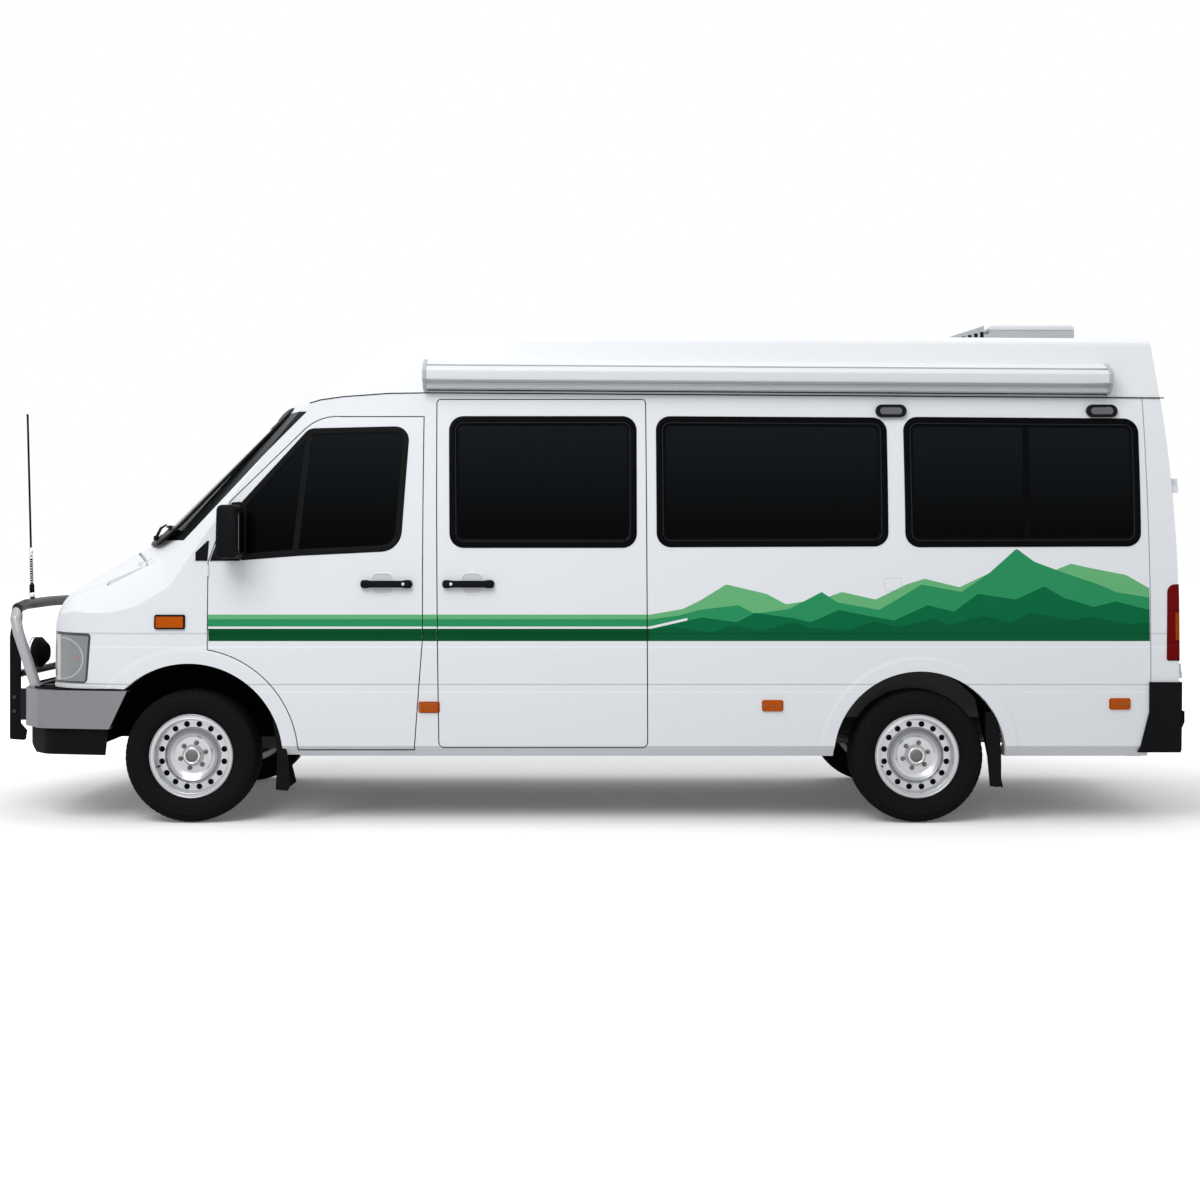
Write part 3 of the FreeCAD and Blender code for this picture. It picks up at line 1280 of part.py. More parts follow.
def cab_seat(y):
    """A cab seat on its plinth, with a leaning back and a headrest."""
    plinth = box(seat_back_x - 440.0, seat_back_x - 60.0, y - 200.0, y + 200.0,
                 cab_floor_top + seat_gap, 880.0)
    cushion = box(seat_back_x - 520.0, seat_back_x - 20.0, y - 250.0, y + 250.0, 880.0, 1010.0)
    cushion = cushion.makeChamfer(30.0, [edge for edge in cushion.Edges if edge.BoundBox.ZMin > 1009.0])
    back = box(-120.0, 0.0, -245.0, 245.0, 0.0, 640.0)
    back = back.makeChamfer(30.0, [edge for edge in back.Edges if edge.Length > 200.0])
    head = box(-105.0, -15.0, -130.0, 130.0, 655.0, 850.0)
    head = head.makeChamfer(25.0, head.Edges)
    posts = rod(at(-60.0, -60.0, 600.0), at(-60.0, -60.0, 700.0), 8.0).fuse(
        rod(at(-60.0, 60.0, 600.0), at(-60.0, 60.0, 700.0), 8.0))
    upper = back.fuse([head, posts])
    upper.rotate(at(0, 0, 0), at(0, 1, 0), 12.0)
    upper.translate(at(seat_back_x - 10.0, y, 1000.0))
    return plinth.fuse([cushion, upper])


seats = Part.makeCompound([cab_seat(-seat_y), cab_seat(seat_y)])

dash_wire = outline_wire([
    (front_axle_x + firewall_u + 1.0, 900.0, 0),
    (front_axle_x + firewall_u + 1.0, 1390.0, 10.0),
    (front_axle_x + 110.0, 1400.0, 60.0),
    (front_axle_x + 260.0, 1290.0, 60.0),
    (front_axle_x + 230.0, 1000.0, 40.0),
    (front_axle_x + 120.0, 900.0, 20.0),
], "XZ")
dashboard = prism(dash_wire, -1000.0, 1000.0).common(body_hull(wall + 12.0)).cut(firewall)
wheel_centre = at(front_axle_x + 420.0, seat_y, 1240.0)
wheel_tilt = at(-0.66, 0, -0.75)
grip_section = [(204.0, 0.0), (197.0, 12.0), (183.0, 12.0), (176.0, 0.0), (183.0, -12.0), (197.0, -12.0)]
grip = arc_wire(grip_section)
steering_ring = Part.Face(grip).revolve(at(0, 0, 0), at(0, 0, 1), 360)
steering_ring.Placement = FreeCAD.Placement(wheel_centre, FreeCAD.Rotation(at(0, 0, 1), wheel_tilt))
column = rod(wheel_centre, wheel_centre + wheel_tilt * 260.0, 24.0)
hub = Part.makeCylinder(60.0, 30.0, wheel_centre - wheel_tilt * 6.0, wheel_tilt)
spoke = rod(wheel_centre + at(0, -186.0, 0), wheel_centre + at(0, 186.0, 0), 9.0)
dashboard = dashboard.fuse([steering_ring, column, hub, spoke])
dashboard = dashboard.cut(front_well.fuse(mirrored(front_well)))

living_low = cab_floor_top + seat_gap
kitchen = box(front_axle_x + 1900.0, front_axle_x + 3100.0, 360.0, 1000.0, living_low, 1480.0)
kitchen = kitchen.common(room_hull)
sink = box(front_axle_x + 2060.0, front_axle_x + 2440.0, 440.0, 780.0, 1330.0, 1500.0)
kitchen = kitchen.cut(sink)
fridge = box(front_axle_x + 3110.0, front_axle_x + 3560.0, 360.0, 1000.0, living_low, 1480.0)
fridge = fridge.common(room_hull)
locker = box(rear_axle_x - 700.0, rear_axle_x + 1150.0, 420.0, 1000.0, 2280.0, 2560.0).common(room_hull)
bed_front_x = rear_axle_x - 60.0
bed_base = box(bed_front_x, rear_axle_x + 1340.0, -1000.0, 1000.0, living_low, 960.0).common(room_hull)
bed_base = bed_base.cut(box(bed_front_x + 40.0, rear_axle_x + 1400.0, -520.0, 520.0, 0.0, 900.0))
well_room = drum(rear_well_x, axle_z, rear_arch_radius + liner_wall + seat_gap,
                 -1100.0, 1.0 - rear_well_y + liner_wall)
bed_base = bed_base.cut(well_room.fuse(mirrored(well_room)))
mattress = box(bed_front_x, rear_axle_x + 1330.0, -860.0, 860.0, 960.0, 1090.0)
mattress = mattress.common(body_hull(wall + 6.0)).cut(fridge.fuse(kitchen))
bed = bed_base.fuse(mattress).removeSplitter()
camper_units = Part.makeCompound([kitchen, fridge, locker, bed])

for name, shape in (
    ("grille", grille), ("front_bumper", front_bumper), ("front_valance", front_valance),
    ("bull_bar", bull_bar), ("driving_lamps", driving_lamps), ("antenna", antenna),
    ("side_lamps", side_lamps), ("slide_handle", slide_handle),
    ("awning", awning), ("roof_vent", roof_vent), ("roof_vent_lid", roof_vent_lid),
    ("rear_frame", rear_frame), ("rear_bumper", rear_bumper), ("floor", floor),
    ("wheel_liners", wheel_liners), ("chassis_frame", chassis_frame),
    ("knuckle_left", knuckle), ("knuckle_right", mirrored(knuckle)),
    ("front_axle", front_axle), ("rear_axle", rear_axle), ("powertrain", powertrain),
    ("exhaust", exhaust), ("fuel_tank", tank), ("seats", seats),
    ("dashboard", dashboard), ("camper_units", camper_units),
    ("cab_door_trim_left", Part.makeCompound([cab_handle, mirror])),
    ("cab_door_trim_right", mirrored(Part.makeCompound([cab_handle, mirror]))),
):
    pieces[name] = shape


# Write the pieces

os.makedirs("parts", exist_ok=True)
for name, shape in pieces.items():
    litres = round(shape.Volume / 1e6, 2)
    print(name, "valid", shape.isValid(), "solids", len(shape.Solids),
          "faces", len(shape.Faces), "litres", litres)
    shape.exportStep("parts/" + name + ".step")
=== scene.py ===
"""Looks of a long-wheelbase high-roof camper van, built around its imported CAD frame.

Row frame: metres, +Z up, +X to the rear, -Y the van's left side, ground at Z = 0.
Each sub-assembly dresses its CAD nodes and adds small pieces that ride on the CAD bodies.
"""

import logging
import math
from dataclasses import dataclass
from enum import Enum
from typing import Callable, ClassVar, Sequence

import bmesh
import bpy
import numpy as np
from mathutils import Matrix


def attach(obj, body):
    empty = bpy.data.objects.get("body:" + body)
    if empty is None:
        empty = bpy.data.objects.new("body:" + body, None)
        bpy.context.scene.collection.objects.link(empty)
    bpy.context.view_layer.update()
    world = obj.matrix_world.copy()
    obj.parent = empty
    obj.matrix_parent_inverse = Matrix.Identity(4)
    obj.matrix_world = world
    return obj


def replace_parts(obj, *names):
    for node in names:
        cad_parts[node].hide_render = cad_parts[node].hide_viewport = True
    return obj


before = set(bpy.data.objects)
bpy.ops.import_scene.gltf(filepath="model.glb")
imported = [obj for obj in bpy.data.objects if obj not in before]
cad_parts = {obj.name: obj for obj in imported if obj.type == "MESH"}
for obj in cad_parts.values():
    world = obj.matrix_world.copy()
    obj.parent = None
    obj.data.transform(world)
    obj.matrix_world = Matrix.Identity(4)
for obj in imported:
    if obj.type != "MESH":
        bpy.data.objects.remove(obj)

log = logging.getLogger("camper_van")
Color = tuple[float, float, float]
Points = Sequence[tuple[float, ...]] | np.ndarray
Place = Callable[[np.ndarray, np.ndarray, np.ndarray], np.ndarray]
Shape = bpy.types.Object
Socket = bpy.types.NodeSocket

FRONT_AXLE_X = -2.200
REAR_AXLE_X = 1.824
AXLE_Z = 0.369
WHEEL_Y = 0.815
BODY_HALF = 0.966
SIDE_RADIUS = 7.719
SIDE_CENTRE_Z = 0.850
HANDLE_Z = 1.3255
BEVEL_DEGREES = 35
BEVELLED_CREASE = 50.0
COAT_ROUGHNESS = 0.04
RIB_DEPTH = 0.0008

WHITE: Color = (0.775, 0.800, 0.835)
LIGHT_GREEN: Color = (0.135, 0.445, 0.190)
MID_GREEN: Color = (0.024, 0.275, 0.108)
DEEP_GREEN: Color = (0.0012, 0.140, 0.049)
DARK_GREEN: Color = (0.0010, 0.100, 0.035)
STRIPE_GREEN: Color = (0.0004, 0.070, 0.019)
AMBER_COLOR: Color = (0.47, 0.082, 0.0008)


class Side(Enum):
    """The two sides of the van, with the sign of Y."""

    LEFT = -1.0
    RIGHT = 1.0

    @property
    def word(self) -> str:
        """The side's name as the CAD nodes spell it."""
        return self.name.lower()


def half_width(z: np.ndarray) -> np.ndarray:
    """Half width of the body at a height: the side is one long arc.

    Args:
        z: Heights.

    Returns:
        The distance from the centreline to the body's side.
    """
    return np.sqrt(SIDE_RADIUS ** 2 - (z - SIDE_CENTRE_Z) ** 2) - SIDE_RADIUS + BODY_HALF


def on_side(side: Side) -> Place:
    """A place on the body's side.

    Args:
        side: Which side of the van.

    Returns:
        A function that takes (x, z, height above the side) and gives points in the row frame.
    """

    def place(a: np.ndarray, b: np.ndarray, height: np.ndarray) -> np.ndarray:
        return np.stack([a, side.value * (half_width(b) + height), b], axis=-1)

    return place


# Meshes


def grid_faces(rows: int, cols: int, wrap_rows: bool, wrap_cols: bool) -> np.ndarray:
    """Quads of a grid of rows by columns.

    Args:
        rows: Number of rows of points.
        cols: Number of columns of points.
        wrap_rows: True if the last row joins the first.
        wrap_cols: True if the last column joins the first.

    Returns:
        An array of four point numbers for each quad.
    """
    row = np.arange(rows if wrap_rows else rows - 1)[:, None]
    col = np.arange(cols if wrap_cols else cols - 1)[None, :]
    next_row = (row + 1) % rows
    next_col = (col + 1) % cols
    corners = [row * cols + col, row * cols + next_col, next_row * cols + next_col, next_row * cols + col]
    quads = [np.broadcast_to(corner, (row.size, col.size)) for corner in corners]
    return np.stack(quads, axis=-1).reshape(-1, 4)


def add_mesh(name: str, points: np.ndarray, faces: list, smooth: bool = True) -> Shape:
    """A new object at the origin from points and faces, with its faces turned outwards.

    Args:
        name: The object's name.
        points: Points in the row frame.
        faces: Faces as lists of point numbers.
        smooth: True to shade it smooth.

    Returns:
        The object.
    """
    mesh = bpy.data.meshes.new(name)
    mesh.from_pydata(np.asarray(points, float).reshape(-1, 3).tolist(), [], [list(face) for face in faces])
    work = bmesh.new()
    work.from_mesh(mesh)
    bmesh.ops.remove_doubles(work, verts=work.verts, dist=1e-6)
    bmesh.ops.recalc_face_normals(work, faces=work.faces)
    work.to_mesh(mesh)
    work.free()
    mesh.polygons.foreach_set("use_smooth", np.full(len(mesh.polygons), smooth))
    shape = bpy.data.objects.new(name, mesh)
    bpy.context.scene.collection.objects.link(shape)
    return shape


def add_grid(name: str, grid: np.ndarray, wrap_rows: bool = False, wrap_cols: bool = False) -> Shape:
    """A new object from a grid of points (rows, columns, 3), with open ends of a closed tube capped.

    Args:
        name: The object's name.
        grid: Points on a grid.
        wrap_rows: True if the last row joins the first.
        wrap_cols: True if the last column joins the first.

    Returns:
        The object.
    """
    rows, cols = grid.shape[:2]
    faces = grid_faces(rows, cols, wrap_rows, wrap_cols).tolist()
    if wrap_cols and not wrap_rows:
        faces.append(list(range(cols))[::-1])
        faces.append([(rows - 1) * cols + col for col in range(cols)])
    return add_mesh(name, grid, faces)


def rounded_outline(corners: Points, radius: float | tuple, steps: int = 6) -> np.ndarray:
    """A closed outline with rounded corners.

    Each corner is replaced by an arc that touches both of its sides, drawn from the corner's
    bisector: centre = corner + bisector * radius / sin(half angle).

    Args:
        corners: Corners (a, b) in order.
        radius: Radius of every corner, or one for each.
        steps: Points on each arc.

    Returns:
        Points (n, 2).
    """
    here = np.asarray(corners, float)
    radius = np.broadcast_to(np.asarray(radius, float), (len(here),))
    before = np.roll(here, 1, axis=0) - here
    after = np.roll(here, -1, axis=0) - here
    before /= np.linalg.norm(before, axis=1, keepdims=True)
    after /= np.linalg.norm(after, axis=1, keepdims=True)
    half = np.arccos(np.clip((before * after).sum(axis=1), -1, 1)) / 2
    bisector = before + after
    bisector /= np.linalg.norm(bisector, axis=1, keepdims=True)
    centre = here + bisector * (radius / np.sin(half))[:, None]
    start = here + before * (radius / np.tan(half))[:, None] - centre
    end = here + after * (radius / np.tan(half))[:, None] - centre
    first = np.arctan2(start[:, 1], start[:, 0])
    turn = (np.arctan2(end[:, 1], end[:, 0]) - first + np.pi) % (2 * np.pi) - np.pi
    angle = first[:, None] + turn[:, None] * np.linspace(0, 1, steps)[None, :]
    arc = np.stack([np.cos(angle), np.sin(angle)], axis=-1) * radius[:, None, None]
    return (centre[:, None, :] + arc).reshape(-1, 2)


def rectangle(a0: float, b0: float, a1: float, b1: float) -> Points:
    """Corners of a rectangle in order, from one corner to the opposite one."""
    return ((a0, b0), (a1, b0), (a1, b1), (a0, b1))


def outline_normals(outline: np.ndarray) -> np.ndarray:
    """Outward unit normals at the points of a closed outline.

    Args:
        outline: Points (n, 2).

    Returns:
        Normals (n, 2).
    """
    along = np.roll(outline, -1, axis=0) - np.roll(outline, 1, axis=0)
    normal = np.stack([along[:, 1], -along[:, 0]], axis=-1)
    normal /= np.linalg.norm(normal, axis=1, keepdims=True)
    outwards = np.sign((normal * (outline - outline.mean(axis=0))).sum())
    return normal * outwards


def add_ring(name: str, outline: np.ndarray, profile: Points, place: Place) -> Shape:
    """A closed moulding carried along a closed outline.

    Each point is outline + outward normal * offset, raised by the profile's height.

    Args:
        name: The object's name.
        outline: Points (n, 2) of the outline.
        profile: (offset outwards, height) points of the closed section.
        place: Puts (a, b, height) in the row frame.

    Returns:
        The object.
    """
    section = np.asarray(profile, float)
    spread = outline[:, None, :] + outline_normals(outline)[:, None, :] * section[None, :, :1]
    height = np.broadcast_to(section[None, :, 1], spread.shape[:2])
    return add_grid(name, place(spread[..., 0], spread[..., 1], height), True, True)


def add_plate(name: str, outline: np.ndarray, low: float, high: float, place: Place,
              edge: float = 0.0) -> Shape:
    """A flat or gently curved plate inside an outline, with its upper edge drawn in.

    Args:
        name: The object's name.
        outline: Points (n, 2) of the outline.
        low: Height of its underside.
        high: Height of its face.
        place: Puts (a, b, height) in the row frame.
        edge: How far the face's edge is drawn in.

    Returns:
        The object.
    """
    count = len(outline)
    inner = outline - outline_normals(outline) * edge
    rings = [(outline, low), (outline, high - edge), (inner, high)]
    points = np.concatenate([place(ring[:, 0], ring[:, 1], np.full(count, height)) for ring, height in rings])
    faces = grid_faces(3, count, False, True).tolist()
    faces.append(list(range(count)))
    faces.append(list(range(2 * count, 3 * count)))
    return add_mesh(name, points, faces, smooth=False)


def add_tube(name: str, path: np.ndarray, radius: float | np.ndarray, sides: int = 16) -> Shape:
    """A round tube along a path.

    Each ring is centre + radius * (cos * first normal + sin * second normal), where both normals
    are square to the path's direction.

    Args:
        name: The object's name.
        path: Points (n, 3).
        radius: One radius, or one for each point.
        sides: Points round the tube.

    Returns:
        The object.
    """
    path = np.asarray(path, float)
    along = np.gradient(path, axis=0)
    along /= np.linalg.norm(along, axis=1, keepdims=True)
    mean = np.abs(along).mean(axis=0)
    guide = np.eye(3)[int(np.argmin(mean))]
    first = np.cross(along, guide)
    first /= np.linalg.norm(first, axis=1, keepdims=True)
    second = np.cross(along, first)
    angle = np.linspace(0, 2 * np.pi, sides, endpoint=False)
    reach = np.broadcast_to(np.asarray(radius, float), (len(path),))[:, None, None]
    cosine, sine = np.cos(angle)[None, :, None], np.sin(angle)[None, :, None]
    ring = cosine * first[:, None, :] + sine * second[:, None, :]
    return add_grid(name, path[:, None, :] + ring * reach, False, True)


def revolved(profile: np.ndarray, centre: tuple[float, float, float], axis: int, count: int) -> np.ndarray:
    """Points of a profile turned about a line through a centre along a row axis.

    Args:
        profile: (offset along the axis, radius) points.
        centre: The point on the axis with offset 0.
        axis: 0, 1 or 2 for X, Y or Z.
        count: Steps in a full turn.

    Returns:
        Points (count, n, 3).
    """
    angle = np.linspace(0, 2 * np.pi, count, endpoint=False)[:, None]
    profile = np.asarray(profile, float)
    points = np.empty((count, len(profile), 3))
    points[..., axis] = profile[None, :, 0]
    points[..., (axis + 1) % 3] = profile[None, :, 1] * np.cos(angle)
    points[..., (axis + 2) % 3] = profile[None, :, 1] * np.sin(angle)
    return points + np.asarray(centre)


def add_turned(name: str, profile: Points, centre: tuple[float, float, float], axis: int = 1,
               count: int = 48) -> Shape:
    """A solid of revolution.

    The profile's first and last points both lie on the axis, or else it closes on itself.

    Args:
        name: The object's name.
        profile: (offset along the axis, radius) points.
        centre: The point on the axis with offset 0.
        axis: 0, 1 or 2 for X, Y or Z.
        count: Steps in a full turn.

    Returns:
        The object.
    """
    section = np.asarray(profile, float)
    closed = section[0, 1] > 1e-6
    grid = revolved(section, centre, axis, count)
    return add_mesh(name, grid, grid_faces(count, len(section), True, closed).tolist())


def add_block(name: str, low: tuple, high: tuple, bevel: float = 0.003, segments: int = 2) -> Shape:
    """A box between two corners with rounded edges.

    Args:
        name: The object's name.
        low: Lowest corner.
        high: Highest corner.
        bevel: Radius of the edges.
        segments: Steps in each rounded edge.

    Returns:
        The object.
    """
    pick = np.array([[i >> 2 & 1, i >> 1 & 1, i & 1] for i in range(8)], float)
    points = np.asarray(low) + pick * (np.asarray(high) - np.asarray(low))
    faces = [[0, 1, 3, 2], [4, 6, 7, 5], [0, 4, 5, 1], [2, 3, 7, 6], [0, 2, 6, 4], [1, 5, 7, 3]]
    block = add_mesh(name, points, faces, smooth=False)
    round_edges(block, bevel, segments)
    return block


def round_edges(shape: Shape, width: float, segments: int = 2) -> None:
    """Rounds the sharp edges of a piece.

    Args:
        shape: The piece.
        width: Radius of the edges.
        segments: Steps in each rounded edge.
    """
    if width <= 0:
        return
    bevel = shape.modifiers.new("rounded edges", "BEVEL")
    bevel.width = width
    bevel.segments = segments
    bevel.limit_method = "ANGLE"
    bevel.angle_limit = math.radians(BEVEL_DEGREES)
    bevel.harden_normals = False
    shape.data.polygons.foreach_set("use_smooth", np.full(len(shape.data.polygons), True))
    split_creases(shape, BEVELLED_CREASE)


def split_creases(shape: Shape, degrees: float) -> None:
    """Shades a piece smooth except across edges sharper than an angle.

    Args:
        shape: The piece.
        degrees: The angle.
    """
    split = shape.modifiers.new("creases", "EDGE_SPLIT")
    split.split_angle = math.radians(degrees)
    split.use_edge_sharp = False


def joined(name: str, shapes: list[Shape]) -> Shape:
    """One piece from several, with their modifiers kept from the first.

    Args:
        name: The new piece's name.
        shapes: The pieces, which share a finish.

    Returns:
        The piece.
    """
    points, faces, start = [], [], 0
    for shape in shapes:
        co = np.empty(len(shape.data.vertices) * 3)
        shape.data.vertices.foreach_get("co", co)
        points.append(co.reshape(-1, 3))
        faces += [[start + corner for corner in face.vertices] for face in shape.data.polygons]
        start += len(shape.data.vertices)
    smooth = bool(shapes[0].data.polygons[0].use_smooth)
    whole = add_mesh(name, np.concatenate(points), faces, smooth)
    for source in shapes[0].modifiers:
        if source.type == "BEVEL":
            round_edges(whole, source.width, source.segments)
    for shape in shapes:
        bpy.data.objects.remove(shape)
    return whole


# Materials


class Graph:
    """A material's or group's node tree, with short calls that add and link nodes."""

    def __init__(self, tree: bpy.types.NodeTree) -> None:
        """Keeps the tree."""
        self.tree = tree

    def add(self, kind: str, inputs: dict | None = None, **settings: object) -> bpy.types.Node:
        """Adds a node.

        Args:
            kind: The node's type.
            inputs: Socket names or numbers, each with a value or a socket to link.
            settings: The node's own properties.

        Returns:
            The node.
        """
        node = self.tree.nodes.new(kind)
        for key, value in settings.items():
            setattr(node, key, value)
        for key, value in (inputs or {}).items():
            if isinstance(value, Socket):
                self.tree.links.new(value, node.inputs[key])
            else:
                node.inputs[key].default_value = value
        return node

    def link(self, value: Socket, node: bpy.types.Node, name: str) -> None:
        """Links a socket to a node's input."""
        self.tree.links.new(value, node.inputs[name])

    def math(self, operation: str, first: object, second: object = 0.0, clamp: bool = False) -> Socket:
        """One step of arithmetic on two numbers or sockets."""
        return self.add("ShaderNodeMath", {0: first, 1: second}, operation=operation,
                        use_clamp=clamp).outputs[0]

    def plus(self, first: object, second: object) -> Socket:
        """The sum of two numbers or sockets."""
        return self.math("ADD", first, second)

    def minus(self, first: object, second: object) -> Socket:
        """The first less the second."""
        return self.math("SUBTRACT", first, second)

    def times(self, first: object, second: object) -> Socket:
        """The product of two numbers or sockets."""
        return self.math("MULTIPLY", first, second)

    def length(self, first: object, second: object) -> Socket:
        """The square root of the sum of two squares."""
        return self.math("SQRT", self.plus(self.math("POWER", first, 2.0), self.math("POWER", second, 2.0)))

    def ramp(self, value: object, low: float, high: float) -> Socket:
        """A smooth step from 0 at low to 1 at high."""
        return self.add("ShaderNodeMapRange", {"Value": value, "From Min": low, "From Max": high},
                        interpolation_type="SMOOTHSTEP").outputs[0]

    def band(self, value: object, low: float, high: float, soft: float = 0.0004) -> Socket:
        """1 between two limits and 0 outside."""
        return self.minus(self.ramp(value, low - soft, low + soft),
                          self.ramp(value, high - soft, high + soft))

    def blend(self, factor: object, first: object, second: object) -> Socket:
        """A color between two, by a factor."""
        mix = self.add("ShaderNodeMix", data_type="RGBA")
        for key, value in ((0, factor), (6, first), (7, second)):
            if isinstance(value, Socket):
                self.tree.links.new(value, mix.inputs[key])
            else:
                mix.inputs[key].default_value = (*value, 1.0) if isinstance(value, tuple) else value
        return mix.outputs[2]

    def axes(self) -> list[Socket]:
        """X, Y and Z of the Object coordinates."""
        split = self.add("ShaderNodeSeparateXYZ", {0: self.add("ShaderNodeTexCoord").outputs["Object"]})
        return [split.outputs[axis] for axis in range(3)]

    def bump(self, shader: bpy.types.Node, height: Socket, strength: float, distance: float) -> None:
        """Tilts a shader's surface by the slope of a height."""
        node = self.add("ShaderNodeBump", {"Strength": strength, "Distance": distance, "Height": height})
        self.link(node.outputs[0], shader, "Normal")

    def ribs(self, shader: bpy.types.Node, x: Socket, y: Socket, pitch: float, strength: float) -> None:
        """Upright ribs across a lens: a sine wave of X plus the distance from the centreline."""
        across = self.plus(x, self.math("ABSOLUTE", y))
        wave = self.math("SINE", self.times(across, 2 * math.pi / pitch))
        self.bump(shader, wave, strength, RIB_DEPTH)


def surface_grain() -> bpy.types.NodeTree:
    """A group that varies a color and a roughness a little and raises a fine grain.

    Returns:
        The group, with outputs Color, Roughness and Height.
    """
    name = "surface grain"
    if name in bpy.data.node_groups:
        return bpy.data.node_groups[name]
    tree = bpy.data.node_groups.new(name, "ShaderNodeTree")
    number = "NodeSocketFloat"
    for label, kind, default in (("Color", "NodeSocketColor", (1, 1, 1, 1)), ("Roughness", number, 0.5),
                                 ("Variation", number, 0.1), ("Scale", number, 40.0)):
        tree.interface.new_socket(label, in_out="INPUT", socket_type=kind).default_value = default
    for label, kind in (("Color", "NodeSocketColor"), ("Roughness", number), ("Height", number)):
        tree.interface.new_socket(label, in_out="OUTPUT", socket_type=kind)
    graph = Graph(tree)
    given, result = graph.add("NodeGroupInput").outputs, graph.add("NodeGroupOutput")
    place = graph.add("ShaderNodeTexCoord").outputs["Object"]
    broad, fine = (graph.add("ShaderNodeTexNoise", {"Vector": place, "Scale": scale, "Detail": detail})
                   for scale, detail in ((3.0, 3.0), (given["Scale"], 4.0)))
    broad, fine = broad.outputs["Fac"], fine.outputs["Fac"]
    change = graph.times(graph.minus(graph.plus(broad, fine), 1.0), given["Variation"])
    tinted = graph.add("ShaderNodeVectorMath", {0: given["Color"], "Scale": graph.plus(change, 1.0)},
                       operation="SCALE")
    graph.link(tinted.outputs[0], result, "Color")
    graph.link(graph.math("ADD", given["Roughness"], change, True), result, "Roughness")
    graph.link(fine, result, "Height")
    return tree


@dataclass(frozen=True)
class Finish:
    """A finish of one color with a little variation and grain."""

    name: str
    color: Color
    roughness: float
    slot: str
    metallic: float = 0.0
    coat: float = 0.0
    variation: float = 0.08
    scale: float = 60.0
    relief: float = 0.0
    transmission: float = 0.0
    ior: float = 1.45

    def shaded(self) -> tuple[Graph, bpy.types.Node, Socket]:
        """A new material with its shader and grain linked.

        Returns:
            The material's graph, its shader and its varied color.
        """
        material = bpy.data.materials.new(self.name)
        material.use_nodes = True
        graph = Graph(material.node_tree)
        shader = material.node_tree.nodes["Principled BSDF"]
        shader.inputs["Metallic"].default_value = self.metallic
        shader.inputs["Coat Weight"].default_value = self.coat
        shader.inputs["Coat Roughness"].default_value = COAT_ROUGHNESS
        shader.inputs["Transmission Weight"].default_value = self.transmission
        shader.inputs["IOR"].default_value = self.ior
        grain = graph.add("ShaderNodeGroup", node_tree=surface_grain())
        for label, value in (("Color", (*self.color, 1.0)), ("Roughness", self.roughness),
                             ("Variation", self.variation), ("Scale", self.scale)):
            grain.inputs[label].default_value = value
        graph.link(grain.outputs["Color"], shader, "Base Color")
        graph.link(grain.outputs["Roughness"], shader, "Roughness")
        if self.relief > 0:
            graph.bump(shader, grain.outputs["Height"], 1.0, self.relief)
        return graph, shader, grain.outputs["Color"]

    def material(self) -> bpy.types.Material:
        """The finish's material, made once."""
        if self.name not in bpy.data.materials:
            self.build()
        return bpy.data.materials[self.name]

    def build(self) -> None:
        """Makes the material."""
        self.shaded()


